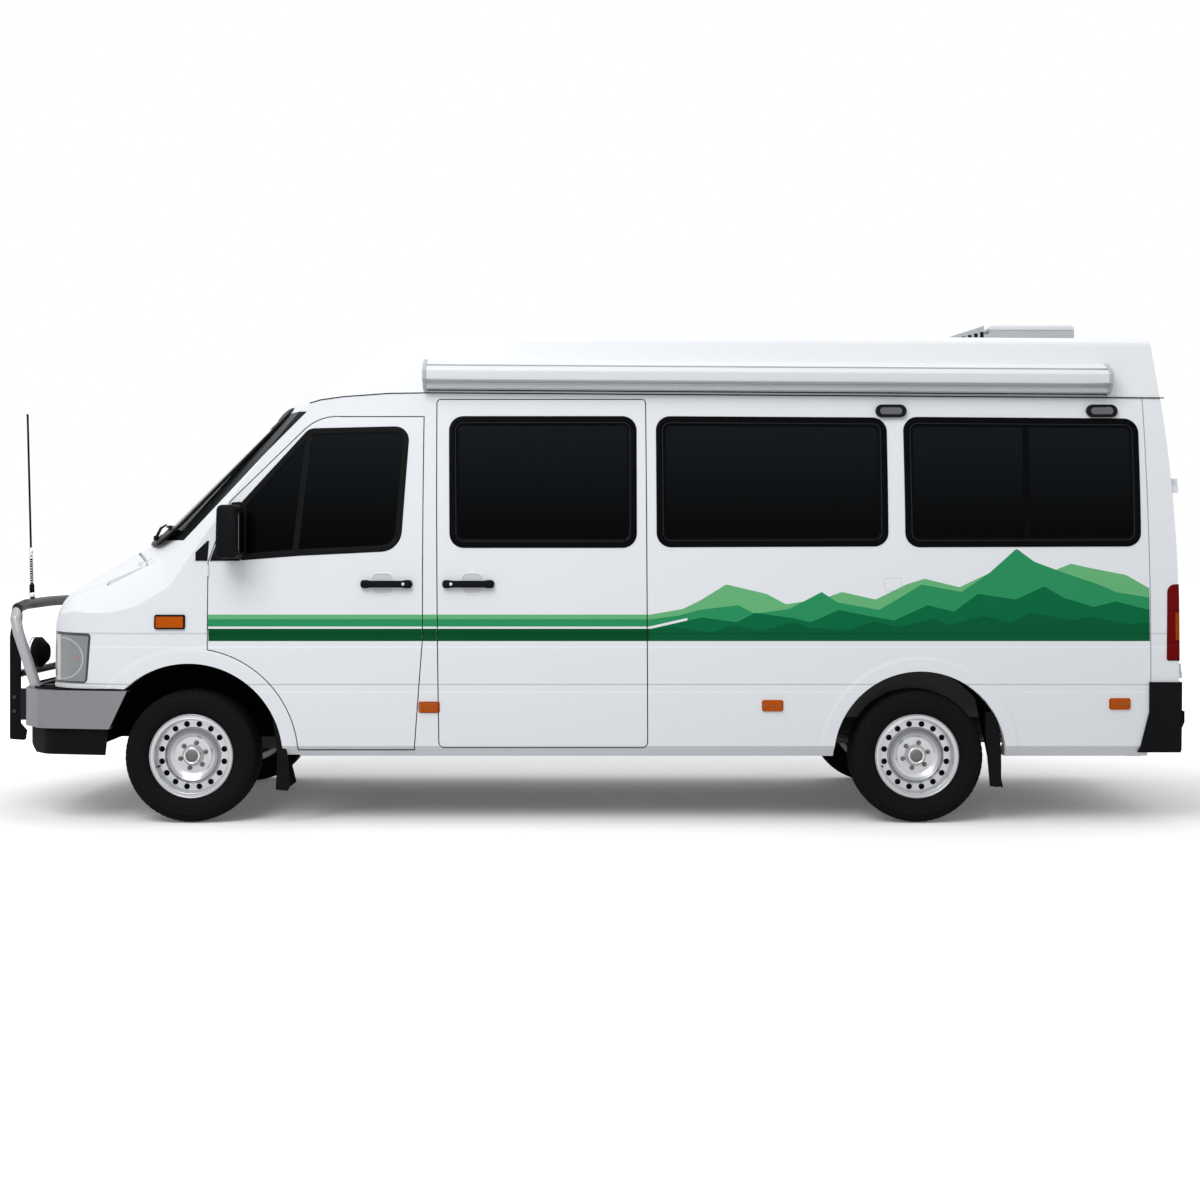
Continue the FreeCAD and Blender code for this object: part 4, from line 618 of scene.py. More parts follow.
@dataclass(frozen=True)
class BodyPaint(Finish):
    """White body paint with green stripes on the front half, layered hills behind, and pressed swage lines.

    Stripes and swages are (low, high, tone or softness) in Z, arches are (centre X, radius, softness),
    and each ridge gives its heights, as shares of the hills' height, at even steps along the side.
    The pillar is the dark strip ahead of a sloping line: (X and Z of a point on it, slope, low, high).
    The white line is (its rise over the hills' length, Z at their front end, half width, share reached).
    """

    stripe_start: float = -2.096
    stripe_end: float = 0.342
    hills_end: float = 3.095
    stripes: tuple = ((1.011, 1.079, STRIPE_GREEN), (1.091, 1.132, MID_GREEN), (1.132, 1.157, LIGHT_GREEN))
    hill_base: float = 1.011
    hill_height: float = 0.520
    ridges: tuple = (
        (LIGHT_GREEN, (0.28, 0.34, 0.43, 0.60, 0.50, 0.39, 0.45, 0.52, 0.44, 0.60,
                       0.66, 0.57, 0.72, 0.79, 0.70, 0.82, 0.78, 0.70, 0.56)),
        (MID_GREEN, (0.23, 0.27, 0.33, 0.38, 0.29, 0.34, 0.52, 0.41, 0.33, 0.47,
                     0.60, 0.52, 0.72, 0.98, 0.84, 0.72, 0.60, 0.52, 0.46)),
        (DEEP_GREEN, (0.13, 0.19, 0.25, 0.20, 0.30, 0.24, 0.20, 0.33, 0.25, 0.22,
                      0.38, 0.31, 0.50, 0.44, 0.58, 0.46, 0.36, 0.42, 0.33)),
        (DARK_GREEN, (0.12, 0.15, 0.09, 0.17, 0.11, 0.20, 0.14, 0.12, 0.21, 0.15,
                      0.24, 0.17, 0.27, 0.20, 0.30, 0.22, 0.26, 0.18, 0.20)),
    )
    white_line: tuple = (0.62, 1.085, 0.007, 0.075)
    least_sideways: float = 0.8
    swages: tuple = ((0.977, 1.052, 0.006), (0.732, 0.772, 0.004))
    arches: tuple = ((-2.200, 0.596, 0.014), (1.832, 0.548, 0.012))
    pressing_depth: float = 0.004
    pillar: tuple = (-2.226, 1.5976, 0.954, 1.566, 2.286)
    pillar_color: Color = (0.010, 0.014, 0.014)

    def ridge(self, graph: Graph, share: Socket, heights: tuple) -> Socket:
        """A ridge's height along the side: a curve with straight runs between peaks a little off even steps.

        Args:
            graph: The material's graph.
            share: 0 at the ridge's front end and 1 at its rear end.
            heights: Heights as shares of the tallest.

        Returns:
            The ridge's Z.
        """
        node = graph.add("ShaderNodeFloatCurve", {"Value": share})
        curve = node.mapping.curves[0]
        curve.points[0].location = (0.0, heights[0])
        curve.points[1].location = (1.0, heights[-1])
        for place, height in list(enumerate(heights))[1:-1]:
            lean = 0.25 * math.sin(3.7 * place + 10 * height)
            curve.points.new((place + lean) / (len(heights) - 1), height)
        for point in curve.points:
            point.handle_type = "VECTOR"
        node.mapping.update()
        return graph.plus(graph.times(node.outputs[0], self.hill_height), self.hill_base)

    def build(self) -> None:
        """Makes the paint: bands of X and Z on faces that look sideways."""
        graph, shader, color = self.shaded()
        x, y, z = graph.axes()
        facing = graph.add("ShaderNodeTexCoord").outputs["Normal"]
        normal = graph.add("ShaderNodeSeparateXYZ", {0: facing}).outputs[1]
        outwards = graph.times(normal, graph.math("SIGN", y))
        sideways = graph.math("GREATER_THAN", outwards, self.least_sideways)
        along = graph.times(graph.band(x, self.stripe_start, self.stripe_end), sideways)
        for low, high, tone in self.stripes:
            color = graph.blend(graph.times(graph.band(z, low, high), along), color, tone)
        share = graph.math("DIVIDE", graph.minus(x, self.stripe_end), self.hills_end - self.stripe_end)
        behind = graph.times(graph.band(x, self.stripe_end, self.hills_end), sideways)
        above = graph.times(graph.math("GREATER_THAN", z, self.hill_base), behind)
        for tone, heights in self.ridges:
            under = graph.math("LESS_THAN", z, self.ridge(graph, share, heights))
            color = graph.blend(graph.times(under, above), color, tone)
        rise, foot, half, reach = self.white_line
        sweep = graph.minus(z, graph.plus(graph.times(share, rise), foot))
        line = graph.times(graph.band(sweep, -half, half), graph.band(share, 0.0, reach))
        color = graph.blend(graph.times(line, behind), color, self.color)
        start_x, start_z, slope, low, high = self.pillar
        rear = graph.plus(graph.times(graph.minus(z, start_z), slope), start_x)
        pillar = graph.times(graph.math("LESS_THAN", x, rear), graph.band(z, low, high))
        graph.link(graph.blend(pillar, color, self.pillar_color), shader, "Base Color")
        height = 0.0
        for low, high, soft in self.swages:
            height = graph.minus(height, graph.band(z, low, high, soft))
        for centre, radius, soft in self.arches:
            away = graph.length(graph.minus(x, centre), graph.minus(z, AXLE_Z))
            height = graph.minus(height, graph.ramp(away, radius - soft, radius + soft))
        graph.bump(shader, height, 1.0, self.pressing_depth)


@dataclass(frozen=True)
class SplitFinish(Finish):
    """A finish that changes to a second color where a coordinate passes a limit."""

    axis: int = 0
    limit: float = 0.0
    mirrored: bool = False
    beyond: Color = (0.02, 0.02, 0.02)

    def build(self) -> None:
        """Makes the material: the second color lies beyond the limit."""
        graph, shader, color = self.shaded()
        value = graph.axes()[self.axis]
        if self.mirrored:
            value = graph.math("ABSOLUTE", value)
        past = graph.math("GREATER_THAN", value, self.limit)
        graph.link(graph.blend(past, color, self.beyond), shader, "Base Color")


@dataclass(frozen=True)
class GlassFinish(Finish):
    """Dark glass that grows lighter towards its top: a painted reflection of the pale room."""

    low: float = 1.48
    high: float = 2.30
    # The upper color is a painted reflection at the glass's top.
    upper: Color = (0.0062, 0.0090, 0.0108)

    def build(self) -> None:
        """Makes the material: the color goes from the first to the upper one with Z, a painted reflection."""
        graph, shader, color = self.shaded()
        rise = graph.ramp(graph.axes()[2], self.low, self.high)
        graph.link(graph.blend(rise, color, self.upper), shader, "Base Color")


@dataclass(frozen=True)
class WheelFinish(Finish):
    """Wheel paint with painted shade: darker rings in the rim's recesses and grooves, as (low, high, share
    taken away) by radius.
    """

    # Rings of painted shade, darker where the rim's recesses and grooves lie in shade.
    rings: tuple = ((0.050, 0.060, 0.45), (0.124, 0.146, 0.42), (0.197, 0.2035, 0.35), (0.226, 0.240, 0.40))
    soft: float = 0.004

    def build(self) -> None:
        """Makes the material: each ring of painted shade is a band of the distance from the nearer axle in X
        and Z.
        """
        graph, shader, color = self.shaded()
        x, _, z = graph.axes()
        rear = graph.math("GREATER_THAN", x, 0.0)
        axle = graph.plus(graph.times(rear, REAR_AXLE_X - FRONT_AXLE_X), FRONT_AXLE_X)
        away = graph.length(graph.minus(x, axle), graph.minus(z, AXLE_Z))
        kept = 1.0
        for low, high, share in self.rings:
            ring = graph.times(graph.band(away, low, high, self.soft), share)
            kept = graph.times(kept, graph.minus(1.0, ring))
        shade = graph.add("ShaderNodeVectorMath", {0: color, "Scale": kept}, operation="SCALE")
        graph.link(shade.outputs[0], shader, "Base Color")


@dataclass(frozen=True)
class LensFinish(Finish):
    """A lamp lens with zones of other colors, each between two values of X and of Z, and upright ribs."""

    zones: tuple = ()
    pitch: float = 0.01
    strength: float = 0.35

    def build(self) -> None:
        """Makes the material: zones over the lens color, and ribs."""
        graph, shader, color = self.shaded()
        x, y, z = graph.axes()
        for start, end, low, high, tone in self.zones:
            inside = graph.times(graph.band(x, start, end, 0.002), graph.band(z, low, high, 0.001))
            color = graph.blend(inside, color, tone)
        graph.link(color, shader, "Base Color")
        graph.ribs(shader, x, y, self.pitch, self.strength)


@dataclass(frozen=True)
class HeadlampFinish(Finish):
    """A headlamp's glass: a bowl with a pale rim, a painted highlight as a bright upright strip, an amber
    spot and a dark edge.

    The bowl is (X, Z, reach in X, reach in Z), the spot (X, Z, reach), the highlight strip two values of X.
    The top edge is (Z at an X, that X, fall), the rear edge (X at a Z, that Z, lean).
    """

    bowl: tuple = (-2.944, 0.909, 0.145, 0.118)
    bowl_color: Color = (0.215, 0.225, 0.235)
    rim_color: Color = (0.52, 0.54, 0.56)
    # The strip is a painted highlight down the front of the lens.
    strip: tuple = (-2.985, -2.955)
    strip_color: Color = (0.66, 0.68, 0.70)
    spot: tuple = (-2.831, 0.914, 0.016)
    spot_color: Color = (0.42, 0.13, 0.05)
    spot_share: float = 0.6
    top_edge: tuple = (1.0340, -2.751, 0.029)
    rear_edge: tuple = (-2.7895, 0.772, 0.083)
    low_edge: float = 0.784
    edge_color: Color = (0.018, 0.019, 0.021)
    pitch: float = 0.011
    strength: float = 0.3

    def build(self) -> None:
        """Makes the material from X and Z: the bowl is an ellipse, the edges are sloping lines."""
        graph, shader, color = self.shaded()
        x, y, z = graph.axes()

        def distance(centre_x: float, centre_z: float, reach_x: float, reach_z: float) -> Socket:
            """Distance from a centre, as a share of the reach in X and Z."""
            return graph.length(graph.math("DIVIDE", graph.minus(x, centre_x), reach_x),
                                graph.math("DIVIDE", graph.minus(z, centre_z), reach_z))

        away = distance(*self.bowl)
        color = graph.blend(graph.ramp(away, 0.98, 1.02), color, self.bowl_color)
        color = graph.blend(graph.band(away, 0.955, 1.0, 0.02), color, self.rim_color)
        # Painted highlight: a bright upright strip.
        color = graph.blend(graph.band(x, *self.strip, 0.008), color, self.strip_color)
        glow = graph.minus(1.0, graph.ramp(distance(*self.spot, self.spot[2]), 0.2, 1.0))
        color = graph.blend(graph.times(glow, self.spot_share), color, self.spot_color)
        top, top_x, fall = self.top_edge
        over = graph.plus(z, graph.times(graph.minus(x, top_x), fall))
        rear, rear_z, lean = self.rear_edge
        behind = graph.minus(x, graph.times(graph.minus(z, rear_z), lean))
        above = graph.math("GREATER_THAN", over, top)
        edge = graph.math("MAXIMUM", above, graph.math("GREATER_THAN", behind, rear))
        edge = graph.math("MAXIMUM", edge, graph.math("LESS_THAN", z, self.low_edge))
        graph.link(graph.blend(edge, color, self.edge_color), shader, "Base Color")
        graph.ribs(shader, x, y, self.pitch, self.strength)


PAINT = BodyPaint("white paint with green livery", WHITE, 0.30, "white_paint", coat=0.02, variation=0.010,
                  ior=1.14)
ROOF = Finish("white glass fibre", (0.775, 0.800, 0.830), 0.34, "roof_white", coat=0.25, variation=0.012,
              relief=0.0002)
# Body white made darker: painted shade inside the handles' finger recesses.
CUP_SHADE = Finish("shaded paint", (0.60, 0.62, 0.645), 0.40, "white_paint", coat=0.2, variation=0.03)
VENT_LID = Finish("vent lid white", (0.62, 0.65, 0.68), 0.22, "roof_white", coat=0.4, variation=0.02)
CASSETTE = Finish("awning white", (0.70, 0.72, 0.74), 0.36, "awning_white", variation=0.02)
PALE_GREY = Finish("pale grey moulding", (0.42, 0.44, 0.46), 0.42, "awning_white", variation=0.03)

BLACK = Finish("black moulded plastic", (0.0060, 0.0063, 0.0072), 0.52, "black_plastic", variation=0.12,
               scale=400.0, relief=0.0002, ior=1.13)
RUBBER = Finish("black rubber", (0.006, 0.006, 0.0065), 0.66, "black_plastic", variation=0.10, ior=1.16)
LINER = Finish("black arch liner", (0.0030, 0.0030, 0.0032), 0.85, "black_plastic", variation=0.20, ior=1.08)
SURROUND = Finish("black window surround", (0.0022, 0.0023, 0.0030), 0.35, "black_plastic", variation=0.06,
                  ior=1.10)
# A lighter line raised on the black window surround.
PANE_LINE = Finish("worn rubber line", (0.020, 0.022, 0.024), 0.40, "black_plastic", variation=0.06, ior=1.15)
GLASS = GlassFinish("dark privacy glass", (0.0006, 0.0006, 0.0010), 0.05, "dark_glass", variation=0.01,
                    ior=1.10)
SCREEN = Finish("tinted windscreen", (0.030, 0.042, 0.042), 0.03, "clear_glass", variation=0.01,
                transmission=0.88, ior=1.14)

CHROME = Finish("polished alloy", (0.72, 0.73, 0.74), 0.12, "alloy", metallic=1.0, variation=0.03)
MIRROR_GLASS = Finish("grey mirror glass", (0.16, 0.17, 0.18), 0.04, "alloy", metallic=1.0, variation=0.01)
BUMPER = Finish("checked alloy bumper", (0.23, 0.235, 0.25), 0.36, "alloy", metallic=0.9, variation=0.16,
                scale=30.0, relief=0.0002)
BULL_BAR = SplitFinish("black and silver bar", (0.012, 0.0125, 0.014), 0.34, "alloy", metallic=0.35,
                       coat=0.05, ior=1.2, axis=1, limit=0.655, mirrored=True, beyond=(0.42, 0.43, 0.45))
STEEL = WheelFinish("silver wheel paint", (0.60, 0.61, 0.63), 0.30, "wheel_silver", metallic=0.80, coat=0.2,
                    variation=0.03)
TYRE = Finish("tyre rubber", (0.0065, 0.0065, 0.0072), 0.78, "tyre", variation=0.16, scale=300.0,
              relief=0.0003, ior=1.16)
CHASSIS = Finish("chassis black", (0.020, 0.020, 0.022), 0.55, "chassis_black", variation=0.2)
CASTING = Finish("cast metal", (0.18, 0.175, 0.17), 0.62, "cast", metallic=0.6, variation=0.25, scale=90.0,
                 relief=0.0006)

AMBER = Finish("amber lens", AMBER_COLOR, 0.16, "lamp_amber", coat=0.05, variation=0.05, ior=1.13)
RED = Finish("red lens", (0.32, 0.004, 0.010), 0.14, "lamp_red", coat=0.6, variation=0.05)
BULB = Finish("white lens", (0.72, 0.74, 0.75), 0.18, "lamp_clear", coat=0.5, variation=0.04)
SMOKED = Finish("smoked lens", (0.085, 0.090, 0.10), 0.12, "lamp_clear", coat=0.6, variation=0.04)
SIDE_LAMPS = SplitFinish("amber and black side lamps", AMBER_COLOR, 0.18, "lamp_amber", coat=0.05, axis=2,
                         limit=1.6, ior=1.13, beyond=(0.007, 0.0075, 0.008))
TAIL_LAMPS = LensFinish("red tail lens", (0.150, 0.0008, 0.0015), 0.14, "lamp_red", coat=0.03, variation=0.05,
                        ior=1.12, pitch=0.008,
                        zones=((3.236, 4.0, 1.017, 1.168, (0.33, 0.050, 0.003)),
                               *((3.0, 4.0, low, high, (0.045, 0.0010, 0.002))
                                 for low, high in ((0.895, 0.912), (1.176, 1.180), (1.002, 1.006)))))
HEADLAMP = HeadlampFinish("ribbed headlamp glass", (0.23, 0.245, 0.255), 0.09, "lamp_clear", coat=0.6,
                          variation=0.10, scale=24.0)

FLOOR_GREY = SplitFinish("grey floor and black wells", (0.16, 0.16, 0.165), 0.66, "floor_grey",
                         variation=0.15, ior=1.08, axis=1, limit=0.640, mirrored=True,
                         beyond=(0.0030, 0.0030, 0.0030))
SEAT = Finish("grey seat cloth", (0.070, 0.076, 0.086), 0.86, "seat_fabric", variation=0.25, scale=500.0,
              relief=0.0004)
DASH = Finish("grey dash plastic", (0.055, 0.057, 0.060), 0.60, "dash_grey", variation=0.08, scale=350.0,
              relief=0.0002)
CABINET = Finish("pale cabinet board", (0.47, 0.36, 0.24), 0.45, "cabinet", variation=0.14, scale=18.0)


def dress(shape: Shape, finish: Finish) -> None:
    """Gives a piece its finish.

    Args:
        shape: The piece.
        finish: The finish.
    """
    shape.data.materials.clear()
    shape.data.materials.append(finish.material())


def fit(shape: Shape, finish: Finish, body: str) -> Shape:
    """Dresses a new piece and makes it ride on a CAD body.

    Args:
        shape: The piece.
        finish: Its finish.
        body: The CAD body's name.

    Returns:
        The piece.
    """
    dress(shape, finish)
    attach(shape, body)
    log.info("%s rides on %s", shape.name, body)
    return shape


def dress_node(name: str, finish: Finish, crease: float = 28.0) -> None:
    """Dresses a CAD node and shades its curved faces smooth, leaving its mesh as it is.

    Args:
        name: The node's name.
        finish: Its finish.
        crease: Edges sharper than this many degrees stay sharp.
    """
    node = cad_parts[name]
    dress(node, finish)
    node.data.polygons.foreach_set("use_smooth", np.full(len(node.data.polygons), True))
    weld = node.modifiers.new("weld", "WELD")
    weld.merge_threshold = 1e-5
    split_creases(node, crease)
    log.info("dressed %s", name)


# The body's own surfaces and outlines


def on_tail(a: np.ndarray, b: np.ndarray, height: np.ndarray) -> np.ndarray:
    """A place on the tail: a curve through three heights, drawn in towards the sides by y squared.

    Args:
        a: Y.
        b: Z.
        height: Distance behind the tail's surface.

    Returns:
        Points in the row frame.
    """
    low, middle, high = 1.250, 1.790, 2.385
    low_reach, middle_reach, high_reach = 1.463, 1.446, 1.398
    bow, bow_half = 0.025, 0.85
    reach = (low_reach * (b - middle) * (b - high) / ((low - middle) * (low - high))
             + middle_reach * (b - low) * (b - high) / ((middle - low) * (middle - high))
             + high_reach * (b - low) * (b - middle) / ((high - low) * (high - middle)))
    reach = np.where(b < low, low_reach, reach)
    x = REAR_AXLE_X + reach - bow * (a / bow_half) ** 2 + height
    return np.stack([x, a + 0 * b, b + 0 * a], axis=-1)


def on_screen(a: np.ndarray, b: np.ndarray, height: np.ndarray) -> np.ndarray:
    """A place on the windscreen: a sloping line that bows back towards the sides by y squared.

    Args:
        a: Y.
        b: Z.
        height: Distance in front of the glass.

    Returns:
        Points in the row frame.
    """
    ahead, foot_z, slope = 0.400, 1.545, 0.785 / 0.765
    bow, bow_half = 0.209, 0.8
    normal_x, normal_z = -0.698, 0.716
    foot = FRONT_AXLE_X + bow * (a / bow_half) ** 2 - ahead
    x = foot + (b - foot_z) * slope
    return np.stack([x + normal_x * height, a + 0 * x, b + normal_z * height], axis=-1)


def across(side: Side) -> Place:
    """A flat place square to Y on one side of the van.

    Args:
        side: Which side of the van.

    Returns:
        A function that takes (x, z, distance from the centreline) and gives points in the row frame.
    """

    def place(a: np.ndarray, b: np.ndarray, height: np.ndarray) -> np.ndarray:
        return np.stack([a + 0 * b, side.value * height + 0 * a, b + 0 * a], axis=-1)

    return place


def arc(centre: tuple[float, float], radius: float, start: float, end: float, steps: int) -> np.ndarray:
    """Points on an arc: centre + radius * (cos, sin) of evenly spread angles.

    Args:
        centre: Its centre (a, b).
        radius: Its radius.
        start: First angle in degrees.
        end: Last angle in degrees.
        steps: Number of points.

    Returns:
        Points (steps, 2).
    """
    angle = np.radians(np.linspace(start, end, steps))
    return np.stack([centre[0] + radius * np.cos(angle), centre[1] + radius * np.sin(angle)], axis=-1)


def dense(points: Points, gap: float, closed: bool = True) -> np.ndarray:
    """The same line with points added, so that none are farther apart than a gap.

    Args:
        points: Points (n, 2) or (n, 3).
        gap: Largest distance wanted.
        closed: True if the last point joins the first.

    Returns:
        More points.
    """
    here = np.asarray(points, float)
    if closed:
        here = np.concatenate([here, here[:1]])
    length = np.concatenate([[0], np.cumsum(np.linalg.norm(np.diff(here, axis=0), axis=1))])
    every = np.union1d(length, np.linspace(0, length[-1], max(2, int(length[-1] / gap) + 1)))
    line = np.stack([np.interp(every, length, here[:, axis]) for axis in range(here.shape[1])], axis=-1)
    return line[:-1] if closed else line


CAB_DOOR = np.concatenate([
    [(-2.093, 1.446), (-1.978, 1.780), (-1.573, 2.187)],
    [(-1.531, 2.219), (-1.487, 2.240), (-1.432, 2.251), (-1.373, 2.254)],
    [(-0.918, 2.254), (-0.914, 1.020), (-0.960, 0.412)],
    arc((FRONT_AXLE_X, AXLE_Z), 0.606, 4.07, 79.83, 14),
])
SLIDING_DOOR = ((-0.842, 2.352), (0.319, 2.352), (0.327, 0.425), (-0.818, 0.425))
SIDE_SECTION = ((-0.0500, -0.0015), (-0.0495, 0.0030), (-0.0465, 0.0050), (-0.0080, 0.0062),
                (-0.0010, 0.0050), (0.0020, 0.0015), (0.0020, -0.0015))


class Assembly:
    """A sub-assembly: the finishes of its CAD nodes, and the pieces that the scene adds."""

    finishes: ClassVar[dict[str, Finish]] = {}

    def dress(self) -> None:
        """Gives the CAD nodes their finishes."""
        for name, finish in self.finishes.items():
            dress_node(name, finish)

    def build(self) -> None:
        """Adds the pieces that the CAD nodes leave out."""
        raise NotImplementedError


@dataclass
class BodyShell(Assembly):
    """The painted shell: its panels, the seals in its door gaps, the gutters and the filler flap's line."""

    finishes = dict.fromkeys(("bonnet", "wing_left", "wing_right", "cab_frame", "cab_door_left",
                              "cab_door_right", "side_wall_left", "side_wall_right", "sliding_door",
                              "rear_frame", "rear_door_left", "rear_door_right"), PAINT) | {"roof": ROOF}
    seal: tuple = ((0.0014, -0.0190), (0.0014, -0.0120), (0.0052, -0.0120), (0.0052, -0.0190))
    gutter: tuple = ((-1.555, 2.334), (-1.494, 2.352), (-1.371, 2.370), (-1.114, 2.389), (-0.891, 2.392),
                     (0.0, 2.3855), (1.6, 2.3745), (3.222, 2.363))
    gutter_radius: float = 0.0032
    door_corner: float = 0.024
    flap: tuple = ((1.637, 1.358), (1.731, 1.358), (1.731, 1.287), (1.637, 1.287))
    flap_line: tuple = ((-0.0014, -0.0006), (-0.0014, 0.0005), (0.0, 0.0007), (0.0, -0.0006))

    def build(self) -> None:
        """Adds the seals, gutters and filler flap's line."""
        for side in Side:
            place = on_side(side)
            seal = add_ring(f"cab_door_seal_{side.word}", dense(CAB_DOOR, 0.12), self.seal, place)
            fit(seal, RUBBER, "body")
            line = dense(self.gutter, 0.15, closed=False)
            path = place(line[:, 0], line[:, 1], np.full(len(line), 0.0005))
            fit(add_tube(f"gutter_{side.word}", path, self.gutter_radius, 10), SURROUND, "body")
        left = on_side(Side.LEFT)
        outline = dense(rounded_outline(SLIDING_DOOR, self.door_corner), 0.15)
        fit(add_ring("sliding_door_seal", outline, self.seal, left), RUBBER, "body")
        outline = dense(rounded_outline(self.flap, 0.012), 0.03)
        fit(add_ring("filler_flap_line", outline, self.flap_line, left), PALE_GREY, "body")


@dataclass
class SideWindows(Assembly):
    """Dark side glass with its black surrounds, pane lines and bars, and the black foot of each mirror."""

    finishes = dict.fromkeys(("side_glass", "cab_glass_left", "cab_glass_right"), GLASS)
    panes: tuple = (
        ("door", ((-0.774, 2.258), (0.269, 2.258), (0.269, 1.526), (-0.762, 1.526))),
        ("middle", ((0.380, 2.258), (1.664, 2.250), (1.659, 1.534), (0.382, 1.529))),
        ("rear", ((1.759, 2.254), (3.066, 2.244), (3.054, 1.534), (1.756, 1.529))),
    )
    corner: float = 0.078
    inner_line: tuple = ((-0.0370, 0.0048), (-0.0370, 0.0068), (-0.0325, 0.0068), (-0.0325, 0.0048))
    rear_bar: tuple = ((2.4225, 2.206), (2.4555, 2.206), (2.4435, 1.578), (2.4105, 1.578))
    cab_glass: tuple = ((-1.916, 1.463), (-1.917, 1.767), (-1.550, 2.183), (-1.000, 2.196), (-1.0425, 1.515),
                        (-1.600, 1.488))
    cab_corners: tuple = (0.010, 0.030, 0.060, 0.070, 0.110, 0.400)
    cab_bar: tuple = ((-1.567, 2.172), (-1.530, 2.188), (-1.600, 1.486), (-1.634, 1.487))
    cab_section: tuple = ((-0.028, -0.0015), (-0.028, 0.0010), (-0.020, 0.0035), (-0.006, 0.0028),
                          (0.004, 0.0040), (0.008, 0.0010), (0.008, -0.0015))
    mirror_sail: tuple = ((-2.086, 1.453), (-1.972, 1.776), (-1.921, 1.780), (-1.921, 1.453))
    pillar_foot: tuple = ((-2.166, 1.453), (-2.166, 1.500), (-2.099, 1.566), (-2.093, 1.562), (-2.100, 1.453))

    def build(self) -> None:
        """Adds the surrounds and bars on both sides."""
        for side in Side:
            place = on_side(side)
            door = f"cab_door_{side.word}"
            for pane, corners in self.panes:
                outline = dense(rounded_outline(corners, self.corner, 10), 0.10)
                for name, section, finish in (("surround", SIDE_SECTION, SURROUND),
                                              ("line", self.inner_line, PANE_LINE)):
                    ring = add_ring(f"{pane}_window_{name}_{side.word}", outline, section, place)
                    fit(ring, finish, "body")

            def plate(name: str, corners: Points, gap: float, high: float, edge: float, finish: Finish,
                      body: str) -> None:
                """A plate on this side of the van, that just enters the surface."""
                outline = dense(corners, gap)
                fit(add_plate(f"{name}_{side.word}", outline, -0.001, high, place, edge), finish, body)

            plate("rear_window_bar", self.rear_bar, 0.08, 0.0035, 0.001, SURROUND, "body")
            outline = dense(rounded_outline(self.cab_glass, self.cab_corners, 8), 0.06)
            fit(add_ring(f"cab_window_rubber_{side.word}", outline, self.cab_section, place), RUBBER, door)
            plate("quarter_light_bar", self.cab_bar, 0.06, 0.004, 0.001, RUBBER, door)
            plate("mirror_sail", self.mirror_sail, 0.05, 0.006, 0.002, BLACK, door)
            plate("pillar_foot", self.pillar_foot, 0.04, 0.005, 0.002, BLACK, "body")


